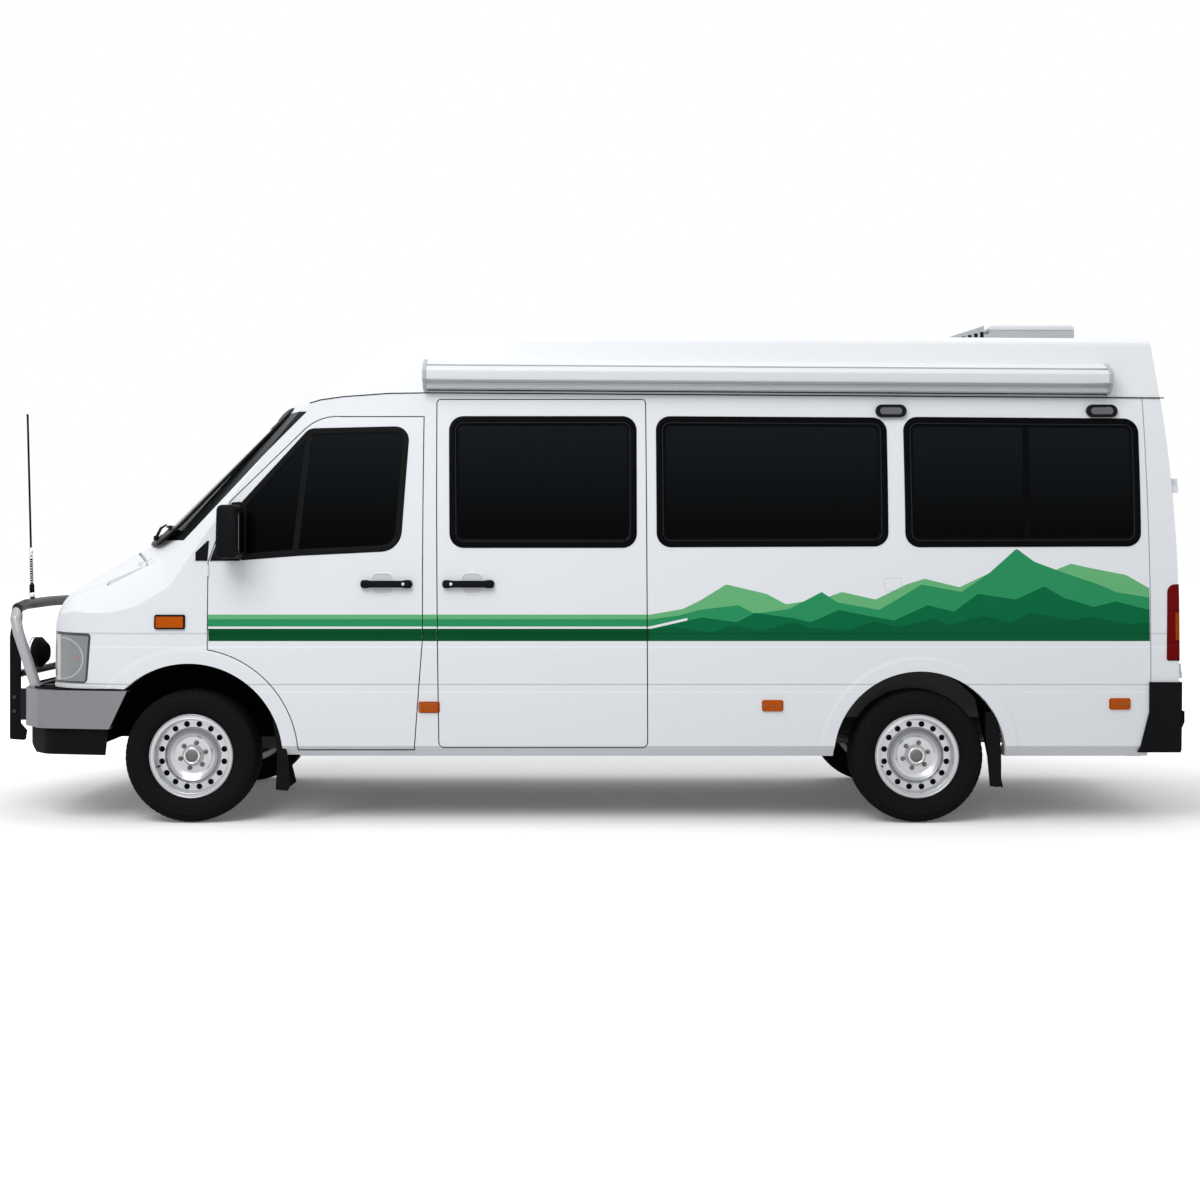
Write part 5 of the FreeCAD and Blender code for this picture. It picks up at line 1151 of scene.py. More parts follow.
@dataclass
class Wheel:
    """One wheel: its dressed rim, a tyre with tread, nuts, cap, dust shield, rim beads and valve.

    Profiles are (offset outwards, radius) points about the wheel's axis.
    """

    place: str
    side: Side
    x: float
    outer: float = 0.369
    sidewall: tuple = (
        (0.073, 0.2225), (0.080, 0.2330), (0.0905, 0.2395), (0.0945, 0.2440), (0.0975, 0.2450),
        (0.1060, 0.2560), (0.1125, 0.2720), (0.1155, 0.2880), (0.1160, 0.3020), (0.1150, 0.3140),
        (0.1162, 0.3160), (0.1160, 0.3200), (0.1145, 0.3215), (0.1110, 0.3340), (0.1055, 0.3460),
        (0.1000, 0.3540), (0.0930, 0.3600))
    steps: int = 320
    blocks: int = 64
    crown_half: float = 0.088
    crown_drop: float = 0.0065
    shoulder: tuple = (0.350, 0.006)
    groove: float = 0.0075
    ring_grooves: tuple = (0.022, 0.058)
    ring_half: float = 0.0052
    ring_edge: float = 0.0016
    cross_start: float = 0.030
    cross_lean: float = 9.0
    cross_half: float = 0.11
    cross_edge: float = 0.05
    cross_depth: float = 0.8
    wall_ribs: int = 90
    wall_rib_band: tuple = (0.262, 0.004)
    wall_rib_share: float = 0.006
    nut_count: int = 6
    nut_circle: float = 0.072
    nut: tuple = ((0.0, 0.0), (0.0, 0.0135), (0.003, 0.0135), (0.0035, 0.0105), (0.017, 0.0105),
                  (0.018, 0.0092), (0.018, 0.0062), (0.027, 0.0058), (0.028, 0.0))
    cap_ring: tuple = ((-0.001, 0.036), (0.002, 0.037), (0.0035, 0.041), (0.002, 0.0455), (-0.001, 0.0465))
    cap_centre: tuple = ((0.004, 0.0), (0.003, 0.020), (0.001, 0.034), (-0.001, 0.034), (-0.001, 0.0))
    cap_offset: float = 0.072
    dust_shield: tuple = ((-0.018, 0.1425), (-0.018, 0.1975), (-0.013, 0.1975), (-0.013, 0.1425))
    rim_beads: tuple = (("outer", 0.2250, 0.2345), ("inner", 0.2045, 0.2120))
    valve_circle: float = 0.196
    valve_degrees: float = 198.0

    @property
    def label(self) -> str:
        """The wheel's place and side, as the CAD nodes spell them."""
        return f"{self.place}_{self.side.word}"

    @property
    def body(self) -> str:
        """The body that turns with the wheel."""
        return f"wheel_{self.label}"

    def turned(self, name: str, profile: Points, offset: float, count: int) -> Shape:
        """A piece turned about the wheel's axis.

        Args:
            name: The piece's name, before the wheel's.
            profile: (offset outwards, radius) points.
            offset: Distance of their zero from the tyre's middle plane.
            count: Steps in a full turn.

        Returns:
            The piece.
        """
        out = self.side.value
        centre = (self.x, out * (WHEEL_Y + offset), AXLE_Z)
        return add_turned(f"{name}_{self.label}", np.asarray(profile) * (out, 1.0), centre, 1, count)

    def on_circle(self, radius: float, angle: float, offset: float) -> np.ndarray:
        """A point at a radius and an angle round the wheel's axis."""
        y = self.side.value * (WHEEL_Y + offset)
        return np.array([self.x + radius * math.cos(angle), y, AXLE_Z + radius * math.sin(angle)])

    def profile(self) -> np.ndarray:
        """The tyre's section: bead, bulged sidewall with a rim guard, shoulder and crowned tread.

        Returns:
            (offset, radius) points.
        """
        wall = np.array(self.sidewall)
        tread = np.linspace(self.crown_half, -self.crown_half, 45)
        fall = self.crown_drop * (tread / self.sidewall[-1][0]) ** 2
        crown = np.stack([tread, self.outer - fall], axis=-1)
        return np.concatenate([wall, crown, wall[::-1] * (-1, 1)])

    def tyre(self) -> Shape:
        """The tyre: its section turned, less a groove wherever the tread pattern has one.

        Ring grooves lie at fixed offsets. Cross grooves lie where a phase, which grows with the turn and
        leans with the offset, passes its middle. Both fade out below the shoulder. Fine ribs on the
        sidewall widen the offset by a cosine of the turn near one radius.

        Returns:
            The tyre.
        """
        section = self.profile()
        turn = np.linspace(0, 2 * np.pi, self.steps, endpoint=False)[:, None]
        offset, radius = section[None, :, 0], section[None, :, 1]
        along = np.min([np.abs(np.abs(offset) - line) for line in self.ring_grooves], axis=0)
        rings = np.clip((self.ring_half - along) / self.ring_edge, 0, 1)
        phase = (turn * self.blocks / (2 * np.pi) + self.cross_lean * np.abs(offset)) % 1.0
        cross = np.clip((self.cross_half - np.abs(phase - 0.5)) / self.cross_edge, 0, 1)
        cross = cross * (np.abs(offset) > self.cross_start)
        start, run = self.shoulder
        fade = np.clip((radius - start) / run, 0, 1)
        reach = radius - self.groove * np.maximum(rings, cross * self.cross_depth) * fade
        middle, half = self.wall_rib_band
        near = np.clip(1 - np.abs(radius - middle) / half, 0, 1)
        ribs = self.wall_rib_share * np.cos(turn * self.wall_ribs) * near
        wide = np.broadcast_to(offset, reach.shape) * (1 + ribs)
        grid = np.stack([reach * np.cos(turn), wide, reach * np.sin(turn)], axis=-1)
        centre = np.array((self.x, self.side.value * WHEEL_Y, AXLE_Z))
        shape = add_grid(f"tyre_tread_{self.label}", grid + centre, True, True)
        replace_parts(shape, f"tyre_{self.label}")
        return fit(shape, TYRE, self.body)

    def build(self) -> None:
        """Dresses the rim and adds the tyre, nuts, cap, shield, beads and valve."""
        dress_node(f"rim_{self.label}", STEEL, 22.0)
        dress_node(f"tyre_{self.label}", TYRE)
        self.tyre()
        out = self.side.value
        nuts = []
        for number in range(self.nut_count):
            centre = self.on_circle(self.nut_circle, 2 * math.pi * (number + 0.25) / self.nut_count, 0.038)
            nuts.append(add_turned(f"nut_{number}", np.array(self.nut) * (out, 1.0), tuple(centre), 1, 12))
        whole = joined(f"wheel_nuts_{self.label}", nuts)
        split_creases(whole, 35)
        fit(whole, CASTING, self.body)
        fit(self.turned("cap_ring", self.cap_ring, self.cap_offset, 64), CHROME, self.body)
        fit(self.turned("cap_centre", self.cap_centre, self.cap_offset, 48), CASTING, self.body)
        holder = f"knuckle_{self.side.word}" if self.place == "front" else "body"
        fit(self.turned("dust_shield", self.dust_shield, 0.0, 48), CHASSIS, holder)
        for name, low, high in self.rim_beads:
            bead = ((0.0875, low), (0.0890, low + 0.0006), (0.0915, (low + high) / 2),
                    (0.0890, high - 0.0006), (0.0875, high))
            fit(self.turned(f"rim_bead_{name}", bead, 0.0, 96), STEEL, self.body)
        foot = self.on_circle(self.valve_circle, math.radians(self.valve_degrees), 0.040)
        valve = add_tube(f"valve_{self.label}", np.array([foot, foot + (0, out * 0.030, 0)]), 0.0045, 10)
        fit(valve, RUBBER, self.body)


@dataclass
class FrontEnd(Assembly):
    """Driving lamps, bumper strip, aerial, windscreen trim, wipers and the bull bar's covers and bolts."""

    finishes = {
        "headlamps": HEADLAMP, "grille": BLACK, "front_bumper": BUMPER, "front_valance": BLACK,
        "bull_bar": BULL_BAR, "driving_lamps": BLACK, "antenna": BLACK, "windscreen": SCREEN}
    strip_points: tuple = ((-3.226, 0.430), (-3.183, 0.640), (-3.100, 0.795), (-2.960, 0.893),
                           (-2.760, 0.948), (-2.560, 0.957))
    strip_z: float = 0.7405
    strip_inset: float = 0.016
    lamp_centre: tuple = (-3.245, 0.380, 0.912)
    lamp_rim: tuple = ((0.010, 0.0905), (-0.004, 0.0925), (-0.010, 0.0905), (-0.010, 0.0850),
                       (-0.004, 0.0820), (0.010, 0.0840))
    lamp_glass: tuple = ((-0.0060, 0.0), (-0.0056, 0.030), (-0.0042, 0.060), (-0.0015, 0.0825),
                         (0.0005, 0.0825), (0.0005, 0.0))
    aerial_foot: tuple = (-3.2685, -0.350, 1.222)
    aerial_tip: tuple = (-3.2955, -0.350, 2.310)
    coil_turns: int = 11
    tip_ball: tuple = ((-0.008, 0.0), (-0.006, 0.005), (0.0, 0.0075), (0.006, 0.005), (0.008, 0.0))
    screen: tuple = ((-0.775, 1.600), (-0.640, 2.262), (0.640, 2.262), (0.775, 1.600))
    screen_section: tuple = ((-0.046, -0.0012), (-0.046, 0.0008), (-0.002, 0.0012), (0.004, 0.0060),
                             (0.030, 0.0110), (0.054, 0.0095), (0.062, 0.0030), (0.063, -0.0020))
    wipers: tuple = ((-0.60, 0.58), (0.02, 0.56))
    wiper_pivot: tuple = ((-0.012, 0.0), (-0.012, 0.017), (0.010, 0.015), (0.014, 0.008), (0.014, 0.0))
    upright: tuple = ((-3.3095, 0.430), (-3.3095, 1.020), (-3.268, 1.150), (-3.240, 1.150), (-3.2495, 1.020),
                      (-3.2495, 0.520), (-3.214, 0.480), (-3.222, 0.424))
    upright_y: tuple = (0.5905, 0.6095)
    bolt: tuple = ((-0.0005, 0.0), (-0.0005, 0.012), (0.006, 0.012), (0.007, 0.009), (0.007, 0.0))
    bolt_heights: tuple = (0.590, 0.670)

    def build(self) -> None:
        """Adds what the CAD nodes leave out."""
        self.bumper_strip()
        self.lamps()
        self.aerial()
        self.screen_trim()
        self.bull_bar_trim()

    def bumper_strip(self) -> None:
        """A dark rubber strip along the top of the bumper.

        It follows the bumper's plan outline, drawn in a little, right side mirrored from the left.
        """
        half = dense(self.strip_points, 0.06, closed=False)
        line = np.concatenate([half[::-1] * (1, -1), half])
        x, y = line[:, 0] + self.strip_inset * 0.8, line[:, 1] * (1 - self.strip_inset * 0.7)
        path = np.column_stack([x, y, np.full(len(line), self.strip_z)])
        fit(add_tube("bumper_top_strip", path, 0.0065, 10), RUBBER, "body")

    def lamps(self) -> None:
        """The glasses and bright rims of the two driving lamps."""
        x, y, z = self.lamp_centre
        for side in Side:
            for name, profile, finish in (("rim", self.lamp_rim, CHROME), ("glass", self.lamp_glass, BULB)):
                part = add_turned(f"driving_lamp_{name}_{side.word}", profile, (x, side.value * y, z), 0, 64)
                fit(part, finish, "body")

    def aerial(self) -> None:
        """The aerial's foot, collar, mast sleeve, ferrule, spring and ball tip, all on its leaning line."""
        foot, tip = np.array(self.aerial_foot), np.array(self.aerial_tip)
        share = np.linspace(0, 1, 2)[:, None]
        for name, low, high, radius, finish in (("foot", 0.0, 0.036, 0.0165, CHROME),
                                                ("collar", 0.037, 0.080, 0.0145, RUBBER),
                                                ("mast", 0.276, 0.994, 0.0060, BLACK),
                                                ("ferrule", 0.222, 0.278, 0.0105, CHROME)):
            path = foot + (tip - foot) * (low + (high - low) * share)
            fit(add_tube(f"aerial_{name}", path, radius, 20), finish, "body")
        turns = np.linspace(0, 2 * np.pi * self.coil_turns, 320)
        along = foot + (tip - foot) * (0.083 + 0.140 * turns / turns[-1])[:, None]
        coil = along + 0.0108 * np.stack([np.cos(turns), np.sin(turns), 0 * turns], axis=-1)
        fit(add_tube("aerial_spring", coil, 0.0026, 8), CHROME, "body")
        fit(add_turned("aerial_tip_ball", self.tip_ball, tuple(tip - (0, 0, 0.010)), 2, 16), BLACK, "body")

    def screen_trim(self) -> None:
        """The windscreen's black edge and rubber, and two wipers, each with arm, blade and pivot."""
        outline = dense(rounded_outline(self.screen, 0.060, 8), 0.06)
        fit(add_ring("windscreen_edge", outline, self.screen_section, on_screen), SURROUND, "body")
        for number, (y, reach) in enumerate(self.wipers):
            arm = on_screen(y + np.array([0.0, 0.10, 0.24]), np.array([1.567, 1.612, 1.640]),
                            np.array([0.020, 0.034, 0.026]))
            fit(add_tube(f"wiper_arm_{number}", arm, np.array([0.009, 0.008, 0.005]), 10), BLACK, "body")
            span = np.linspace(y - 0.06, y + reach, 14)
            blade = on_screen(span, 1.636 + 0.010 * (span - y), np.full(14, 0.012))
            fit(add_tube(f"wiper_blade_{number}", blade, 0.0075, 8), BLACK, "body")
            pivot = tuple(on_screen(np.array(y), np.array(1.567), np.array(0.018)))
            fit(add_turned(f"wiper_pivot_{number}", self.wiper_pivot, pivot, 2, 20), BLACK, "body")

    def bull_bar_trim(self) -> None:
        """Rounded covers on the bull bar's uprights, down to their feet, and four bolt heads."""
        cover = rounded_outline(self.upright, 0.010, 4)
        bolts = []
        for side in Side:
            plate = add_plate(f"upright_cover_{side.word}", cover, *self.upright_y, across(side), 0.003)
            fit(plate, BLACK, "body")
        for side in Side:
            head = np.array(self.bolt) * (side.value, 1.0)
            for z in self.bolt_heights:
                bolts.append(add_turned("bolt", head, (-3.280, side.value * self.upright_y[1], z), 1, 6))
        fit(joined("bull_bar_bolts", bolts), CHASSIS, "body")


@dataclass
class SideTrim(Assembly):
    """Side lamps' rims, door handles with their cups and locks, mirrors, awning and roof vent."""

    finishes = {
        "side_lamps": SIDE_LAMPS, "slide_handle": BLACK, "cab_door_trim_left": BLACK,
        "cab_door_trim_right": BLACK, "awning": CASSETTE, "roof_vent": PALE_GREY, "roof_vent_lid": VENT_LID}
    markers: tuple = ((-0.874, 0.6470), (1.0175, 0.6555), (2.929, 0.6655))
    marker_half: tuple = (0.054, 0.0265)
    marker_rim: tuple = ((0.0, -0.0010), (0.0, 0.0040), (0.0035, 0.0045), (0.0050, 0.0020), (0.0050, -0.0010))
    screw_steps: tuple = (-0.036, 0.0, 0.036)
    repeater: tuple = (-2.3025, 1.116)
    repeater_half: tuple = (0.0795, 0.035)
    repeater_frame: tuple = ((-0.004, 0.0100), (-0.004, 0.0135), (0.001, 0.0140), (0.0045, 0.0110),
                             (0.0055, 0.0), (0.0055, -0.004), (0.0005, -0.004), (0.0005, 0.0100))
    porch: tuple = (1.690, 2.866)
    porch_z: tuple = (2.308, 2.268)
    cab_handle: tuple = (-1.254, -0.966)
    slide_handle: tuple = (-0.803, -0.514)
    cup_rim: tuple = ((-0.006, -0.0006), (-0.006, 0.0016), (-0.001, 0.0022), (0.003, 0.0016),
                      (0.005, -0.0006))
    cup_half: float = 0.060
    mirror_outline: tuple = ((-2.012, 1.466), (-1.884, 1.466), (-1.884, 1.760), (-2.004, 1.760))
    mirror_rings: tuple = ((0.981, 0.014), (0.984, 0.006), (0.992, 0.001), (1.060, 0.0), (1.150, 0.002),
                           (1.172, 0.008), (1.179, 0.018))
    mirror_arm: tuple = ((-2.004, 1.492), (-1.928, 1.492), (-1.928, 1.552), (-2.004, 1.552))
    mirror_rear: float = -1.884
    mirror_glass: tuple = ((1.012, 1.500), (1.146, 1.500), (1.146, 1.718), (1.012, 1.718))
    awning_end: tuple = ((-0.742, 2.580), (-0.812, 2.580), (-0.882, 2.545), (-0.910, 2.512), (-0.910, 2.460),
                         (-0.893, 2.443), (-0.874, 2.413), (-0.846, 2.402), (-0.780, 2.402))
    awning_slope: float = math.tan(math.radians(0.37))
    awning_front: float = -0.914
    awning_lines: tuple = (("lead_rail", -0.9045, 2.458, 0.0060, PALE_GREY),
                           ("slot", -0.8945, 2.4395, 0.0040, PALE_GREY),
                           # A dark tube under the cassette's lower edge: painted shadow.
                           ("under_line", -0.8580, 2.4035, 0.0034, RUBBER),
                           ("top_bead", -0.8800, 2.5420, 0.0045, PALE_GREY))
    slat_count: int = 5
    slat_y: float = 0.2985

    def build(self) -> None:
        """Adds the small trim."""
        for side in Side:
            self.cups(side)
            self.mirror(side)
            self.marker_rims(side)
        slide = self.grab_handle("slide_handle_grip", Side.LEFT, *self.slide_handle)
        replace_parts(fit(slide, BLACK, "body"), "slide_handle")
        self.porch_lenses()
        self.awning_trim()
        self.louvres()

    def cups(self, side: Side) -> None:
        """Finger recesses behind the handles, rounded squares a little wider at the top, their faces a darker
        white as painted shade, and key locks.

        Args:
            side: The side of the van.
        """
        place = on_side(side)
        front, rear = self.cab_handle
        spots = [(f"cab_{side.word}", front + 0.120, f"cab_door_{side.word}", rear - 0.050)]
        if side is Side.LEFT:
            spots.append(("slide", self.slide_handle[0] + 0.165, "body", self.slide_handle[0] + 0.050))
        for name, x, body, lock_x in spots:
            low, high = HANDLE_Z - self.cup_half, HANDLE_Z + self.cup_half

            def outline(wide: float, narrow: float, inset: float, radius: float) -> np.ndarray:
                """A rounded square round the recess, with two half widths, drawn in above and below."""
                corners = [(x - narrow, low + inset), (x - wide, high - inset), (x + wide, high - inset),
                           (x + narrow, low + inset)]
                return rounded_outline(corners, radius, 10)

            rim = add_ring(f"handle_cup_rim_{name}", outline(0.063, 0.056, 0.0, 0.036), self.cup_rim, place)
            fit(rim, PAINT, body)
            # The recess's face is painted shade: the body white made darker.
            cup = add_plate(f"handle_cup_{name}", outline(0.057, 0.051, 0.006, 0.031), -0.0004, 0.0006, place)
            fit(cup, CUP_SHADE, body)
            barrel = arc((lock_x, HANDLE_Z), 0.0085, 0, 345, 24)
            fit(add_plate(f"door_lock_{name}", barrel, 0.0335, 0.0355, place, 0.0008), CHROME, body)

    def mirror(self, side: Side) -> None:
        """The mirror's rounded housing on its arm, the cab door's pull handle, and the mirror glass.

        The housing is a rounded outline in X and Z carried outwards along Y: each ring is the outline
        drawn in by an inset that grows towards both ends. Handle and housing stand for the CAD node.

        Args:
            side: The side of the van.
        """
        out = side.value
        door = f"cab_door_{side.word}"

        def carried(name: str, corners: Points, radius: float, rings: Points) -> Shape:
            """A rounded outline in X and Z carried along Y, through (Y, inset) rings."""
            shell = rounded_outline(corners, radius, 8)
            steps = np.array(rings)
            flat = shell[None] - outline_normals(shell)[None] * steps[:, 1, None, None]
            y = np.broadcast_to(steps[:, :1], flat.shape[:2])
            return add_grid(name, np.stack([flat[..., 0], out * y, flat[..., 1]], axis=-1), False, True)

        housing = carried(f"mirror_housing_{side.word}", self.mirror_outline, 0.034, self.mirror_rings)
        reach = ((float(half_width(1.52)) + 0.0004, 0.0), (0.990, 0.004))
        arm = carried(f"mirror_arm_{side.word}", self.mirror_arm, 0.014, reach)
        grip = self.grab_handle(f"cab_handle_{side.word}", side, *self.cab_handle)
        for piece in (housing, arm, grip):
            fit(piece, BLACK, door)
            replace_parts(piece, f"cab_door_trim_{side.word}")

        def rearwards(a: np.ndarray, b: np.ndarray, height: np.ndarray) -> np.ndarray:
            """A place on the mirror's rear face."""
            return np.stack([self.mirror_rear + height + 0 * a, out * a, b + 0 * a], axis=-1)

        outline = rounded_outline(self.mirror_glass, 0.020)
        glass = add_plate(f"mirror_glass_{side.word}", outline, -0.002, 0.0015, rearwards, 0.0008)
        fit(glass, MIRROR_GLASS, door)

    def grab_handle(self, name: str, side: Side, front: float, rear: float) -> Shape:
        """A pull handle: a bar with round ends that stands off the door, thicker at its two feet.

        Its section is an oval of height by depth that runs along X; the depth reaches the door at both
        ends and leaves it by a smooth step between them.

        Args:
            name: The piece's name.
            side: The side of the van.
            front: X of its front end.
            rear: X of its rear end.

        Returns:
            The handle.
        """
        foot_run, bar_start, foot_reach, foot_edge, end_run = 0.060, 0.075, 0.058, 0.020, 0.018
        clear, skin, low_end, depth = 0.0165, 0.0006, 0.0008, 0.0340
        half_height, swell, squareness, middle_z = 0.0190, 0.0035, 0.6, 1.325
        x = np.concatenate([np.linspace(front, front + foot_run, 14),
                            np.linspace(front + bar_start, rear - bar_start, 9),
                            np.linspace(rear - foot_run, rear, 14)])
        near = np.clip(np.minimum(x - front, rear - x), 0.0, None)
        foot = np.clip((foot_reach - near) / foot_edge, 0, 1)
        low = clear * (1 - foot * foot * (3 - 2 * foot)) + skin
        end = np.sqrt(np.clip(1 - (1 - np.clip(near / end_run, 0, 1)) ** 2, 0.02, 1))
        tall = (half_height + swell * foot) * end
        turn = np.linspace(0, 2 * np.pi, 24, endpoint=False)[None, :]
        round_z, round_y = (np.sign(curve) * np.abs(curve) ** squareness
                            for curve in (np.cos(turn), np.sin(turn)))
        z = middle_z + tall[:, None] * round_z
        top = low_end + (depth - low_end) * end
        height = (low + top)[:, None] / 2 + (top - low)[:, None] / 2 * round_y
        return add_grid(name, on_side(side)(np.broadcast_to(x[:, None], z.shape), z, height), False, True)

    def marker_rims(self, side: Side) -> None:
        """A black frame round the repeater lamp, and amber rims and screw heads on the marker lamps.

        Args:
            side: The side of the van.
        """
        place = on_side(side)

        def outline(x: float, z: float, half: tuple[float, float]) -> np.ndarray:
            """A lamp's rectangle with small round corners."""
            corners = rectangle(x - half[0], z - half[1], x + half[0], z + half[1])
            return dense(rounded_outline(corners, 0.006, 4), 0.05)

        frame_line = outline(*self.repeater, self.repeater_half)
        fit(add_ring(f"repeater_frame_{side.word}", frame_line, self.repeater_frame, place), BLACK, "body")
        for number, (x, z) in enumerate(self.markers):
            rim_line = outline(x, z, self.marker_half)
            rim = add_ring(f"marker_rim_{number}_{side.word}", rim_line, self.marker_rim, place)
            fit(rim, AMBER, "body")
            screws = [add_plate("screw", arc((x + step, z), 0.0050, 0, 330, 12), 0.006, 0.0225, place, 0.001)
                      for step in self.screw_steps]
            fit(joined(f"marker_screws_{number}_{side.word}", screws), CASTING, "body")

    def porch_lenses(self) -> None:
        """Smoked oval lenses on the two porch lamps."""
        for number, x in enumerate(self.porch):
            corners = rectangle(x - 0.062, self.porch_z[0], x + 0.062, self.porch_z[1])
            lens = add_plate(f"porch_lens_{number}", rounded_outline(corners, 0.0195, 8), 0.0215, 0.0265,
                             on_side(Side.LEFT), 0.003)
            fit(lens, SMOKED, "body")

    def awning_trim(self) -> None:
        """End caps, and the rails and lines along the cassette, one of them a dark tube that paints the
        shadow under its lower edge, all falling a little towards the rear.
        """
        profile = rounded_outline(self.awning_end, 0.006, 4)
        for name, x0, x1 in (("front", -0.918, -0.896), ("rear", 2.891, 2.913)):

            def endwards(a: np.ndarray, b: np.ndarray, height: np.ndarray) -> np.ndarray:
                """A place on the cassette's end, lower the farther back it is."""
                fall = self.awning_slope * (x0 - self.awning_front)
                return np.stack([x0 + height + 0 * a, a, b - fall + 0 * a], axis=-1)

            fit(add_plate(f"awning_end_{name}", profile, 0.0, x1 - x0, endwards, 0.003), PALE_GREY, "body")
        x = np.linspace(-0.894, 2.889, 24)
        for name, y, z, radius, finish in self.awning_lines:
            path = np.column_stack([x, np.full(len(x), y), z - self.awning_slope * (x - self.awning_front)])
            fit(add_tube(f"awning_{name}", path, radius, 10), finish, "body")

    def louvres(self) -> None:
        """Dark slats on both flanks of the vent's wedge."""
        slats = []
        for side in Side:
            y = side.value * self.slat_y
            for step in range(self.slat_count):
                x = 2.168 + 0.036 * step
                slats.append(add_block("slat", (x, y - 0.003, 2.728 + 0.002 * step),
                                       (x + 0.020, y + 0.003, 2.762 + 0.009 * step), 0.0))
        fit(joined("vent_louvres", slats), RUBBER, "body")


@dataclass
class RearEnd(Assembly):
    """Rear window surrounds, hinge screws, door handle and lock, blank plate, lamps and step tread."""

    finishes = {
        "tail_lamps": TAIL_LAMPS, "rear_glass_left": GLASS, "rear_glass_right": GLASS, "rear_bumper": BLACK}
    window_z: tuple = (1.560, 2.190)
    window_inner: float = 0.095
    window_inset: float = 0.210
    hinges: tuple = (0.800, 1.830)
    screw: tuple = ((0.006, 0.0), (0.006, 0.005), (0.004, 0.009), (-0.001, 0.009), (-0.001, 0.0))
    rib_count: int = 4

    def build(self) -> None:
        """Adds the rear's small pieces."""
        for side in Side:
            self.door_trim(side)
        grip = rounded_outline([(0.060, 1.075), (0.062, 1.125), (0.250, 1.125), (0.250, 1.075)], 0.020)
        pull = rounded_outline([(0.085, 1.112), (0.085, 1.132), (0.232, 1.132), (0.232, 1.112)], 0.008)
        plate = rounded_outline([(-0.610, 0.885), (-0.610, 1.000), (-0.238, 1.000), (-0.238, 0.885)], 0.008)
        lamp = rounded_outline([(-0.560, 1.020), (-0.560, 1.050), (-0.288, 1.050), (-0.288, 1.020)], 0.008)
        stop = rounded_outline([(-0.150, 2.352), (-0.150, 2.378), (0.150, 2.378), (0.150, 2.352)], 0.010)
        lock = arc((0.280, 1.100), 0.013, 0, 345, 24)
        for name, outline, low, high, edge, finish, body in (
                ("rear_door_handle_cup", dense(grip, 0.05), -0.001, 0.004, 0.002, BLACK, "rear_door_right"),
                ("rear_door_pull", pull, 0.003, 0.020, 0.005, BLACK, "rear_door_right"),
                ("rear_door_lock", lock, -0.001, 0.004, 0.001, CHROME, "rear_door_right"),
                ("blank_plate", plate, 0.002, 0.0045, 0.0008, BULB, "rear_door_left"),
                ("plate_lamp", lamp, -0.001, 0.024, 0.006, BLACK, "rear_door_left"),
                ("high_stop_lamp", stop, 0.002, 0.022, 0.005, RED, "body")):
            fit(add_plate(name, outline, low, high, on_tail, edge), finish, body)
        self.step_tread()
        for side in Side:
            low, high = sorted((side.value * 0.655, side.value * 0.735))
            reflector = add_block(f"rear_reflector_{side.word}", (3.3045, low, 0.566), (3.3115, high, 0.606),
                                  0.0025)
            fit(reflector, RED, "body")

    def door_trim(self, side: Side) -> None:
        """A rear door's window surround and hinge screws.

        Args:
            side: The side of the van.
        """
        out = side.value
        door = f"rear_door_{side.word}"
        low, high = self.window_z
        wide, narrow = (half_width(z) - self.window_inset for z in self.window_z)
        corners = [(out * self.window_inner, low), (out * self.window_inner, high), (out * narrow, high),
                   (out * wide, low)]
        outline = dense(rounded_outline(corners, 0.060, 8), 0.08)
        fit(add_ring(f"rear_window_surround_{side.word}", outline, SIDE_SECTION, on_tail), SURROUND, door)
        screw_y = out * (half_width(0.900) - 0.082 - 0.042)
        for number, z in enumerate(self.hinges):
            centre = on_tail(np.array(screw_y), np.array(z + 0.060), np.array(0.006))
            head = add_turned(f"hinge_screw_{number}_{side.word}", self.screw, tuple(centre), 0, 16)
            fit(head, CASTING, door)

    def step_tread(self) -> None:
        """Low rubber ribs along the bumper's step."""
        ribs = []
        for step in range(self.rib_count):
            x = 3.225 + 0.020 * step
            ribs.append(add_block("rib", (x, -0.800, 0.6185), (x + 0.009, 0.800, 0.6235), 0.0015, 1))
        fit(joined("step_tread", ribs), RUBBER, "body")


@dataclass
class Inside(Assembly):
    """Cab and living space."""

    finishes = {
        "floor": FLOOR_GREY, "seats": SEAT, "dashboard": DASH, "camper_units": CABINET}
    dials: tuple = ((-1.956, 0.350, 1.318), (-1.956, 0.510, 1.318))
    dial: tuple = ((0.004, 0.0), (0.004, 0.046), (0.008, 0.050), (0.006, 0.055), (0.000, 0.055), (0.000, 0.0))

    def build(self) -> None:
        """Adds two dials to the dashboard."""
        for number, centre in enumerate(self.dials):
            fit(add_turned(f"dial_{number}", self.dial, centre, 0, 40), BLACK, "body")


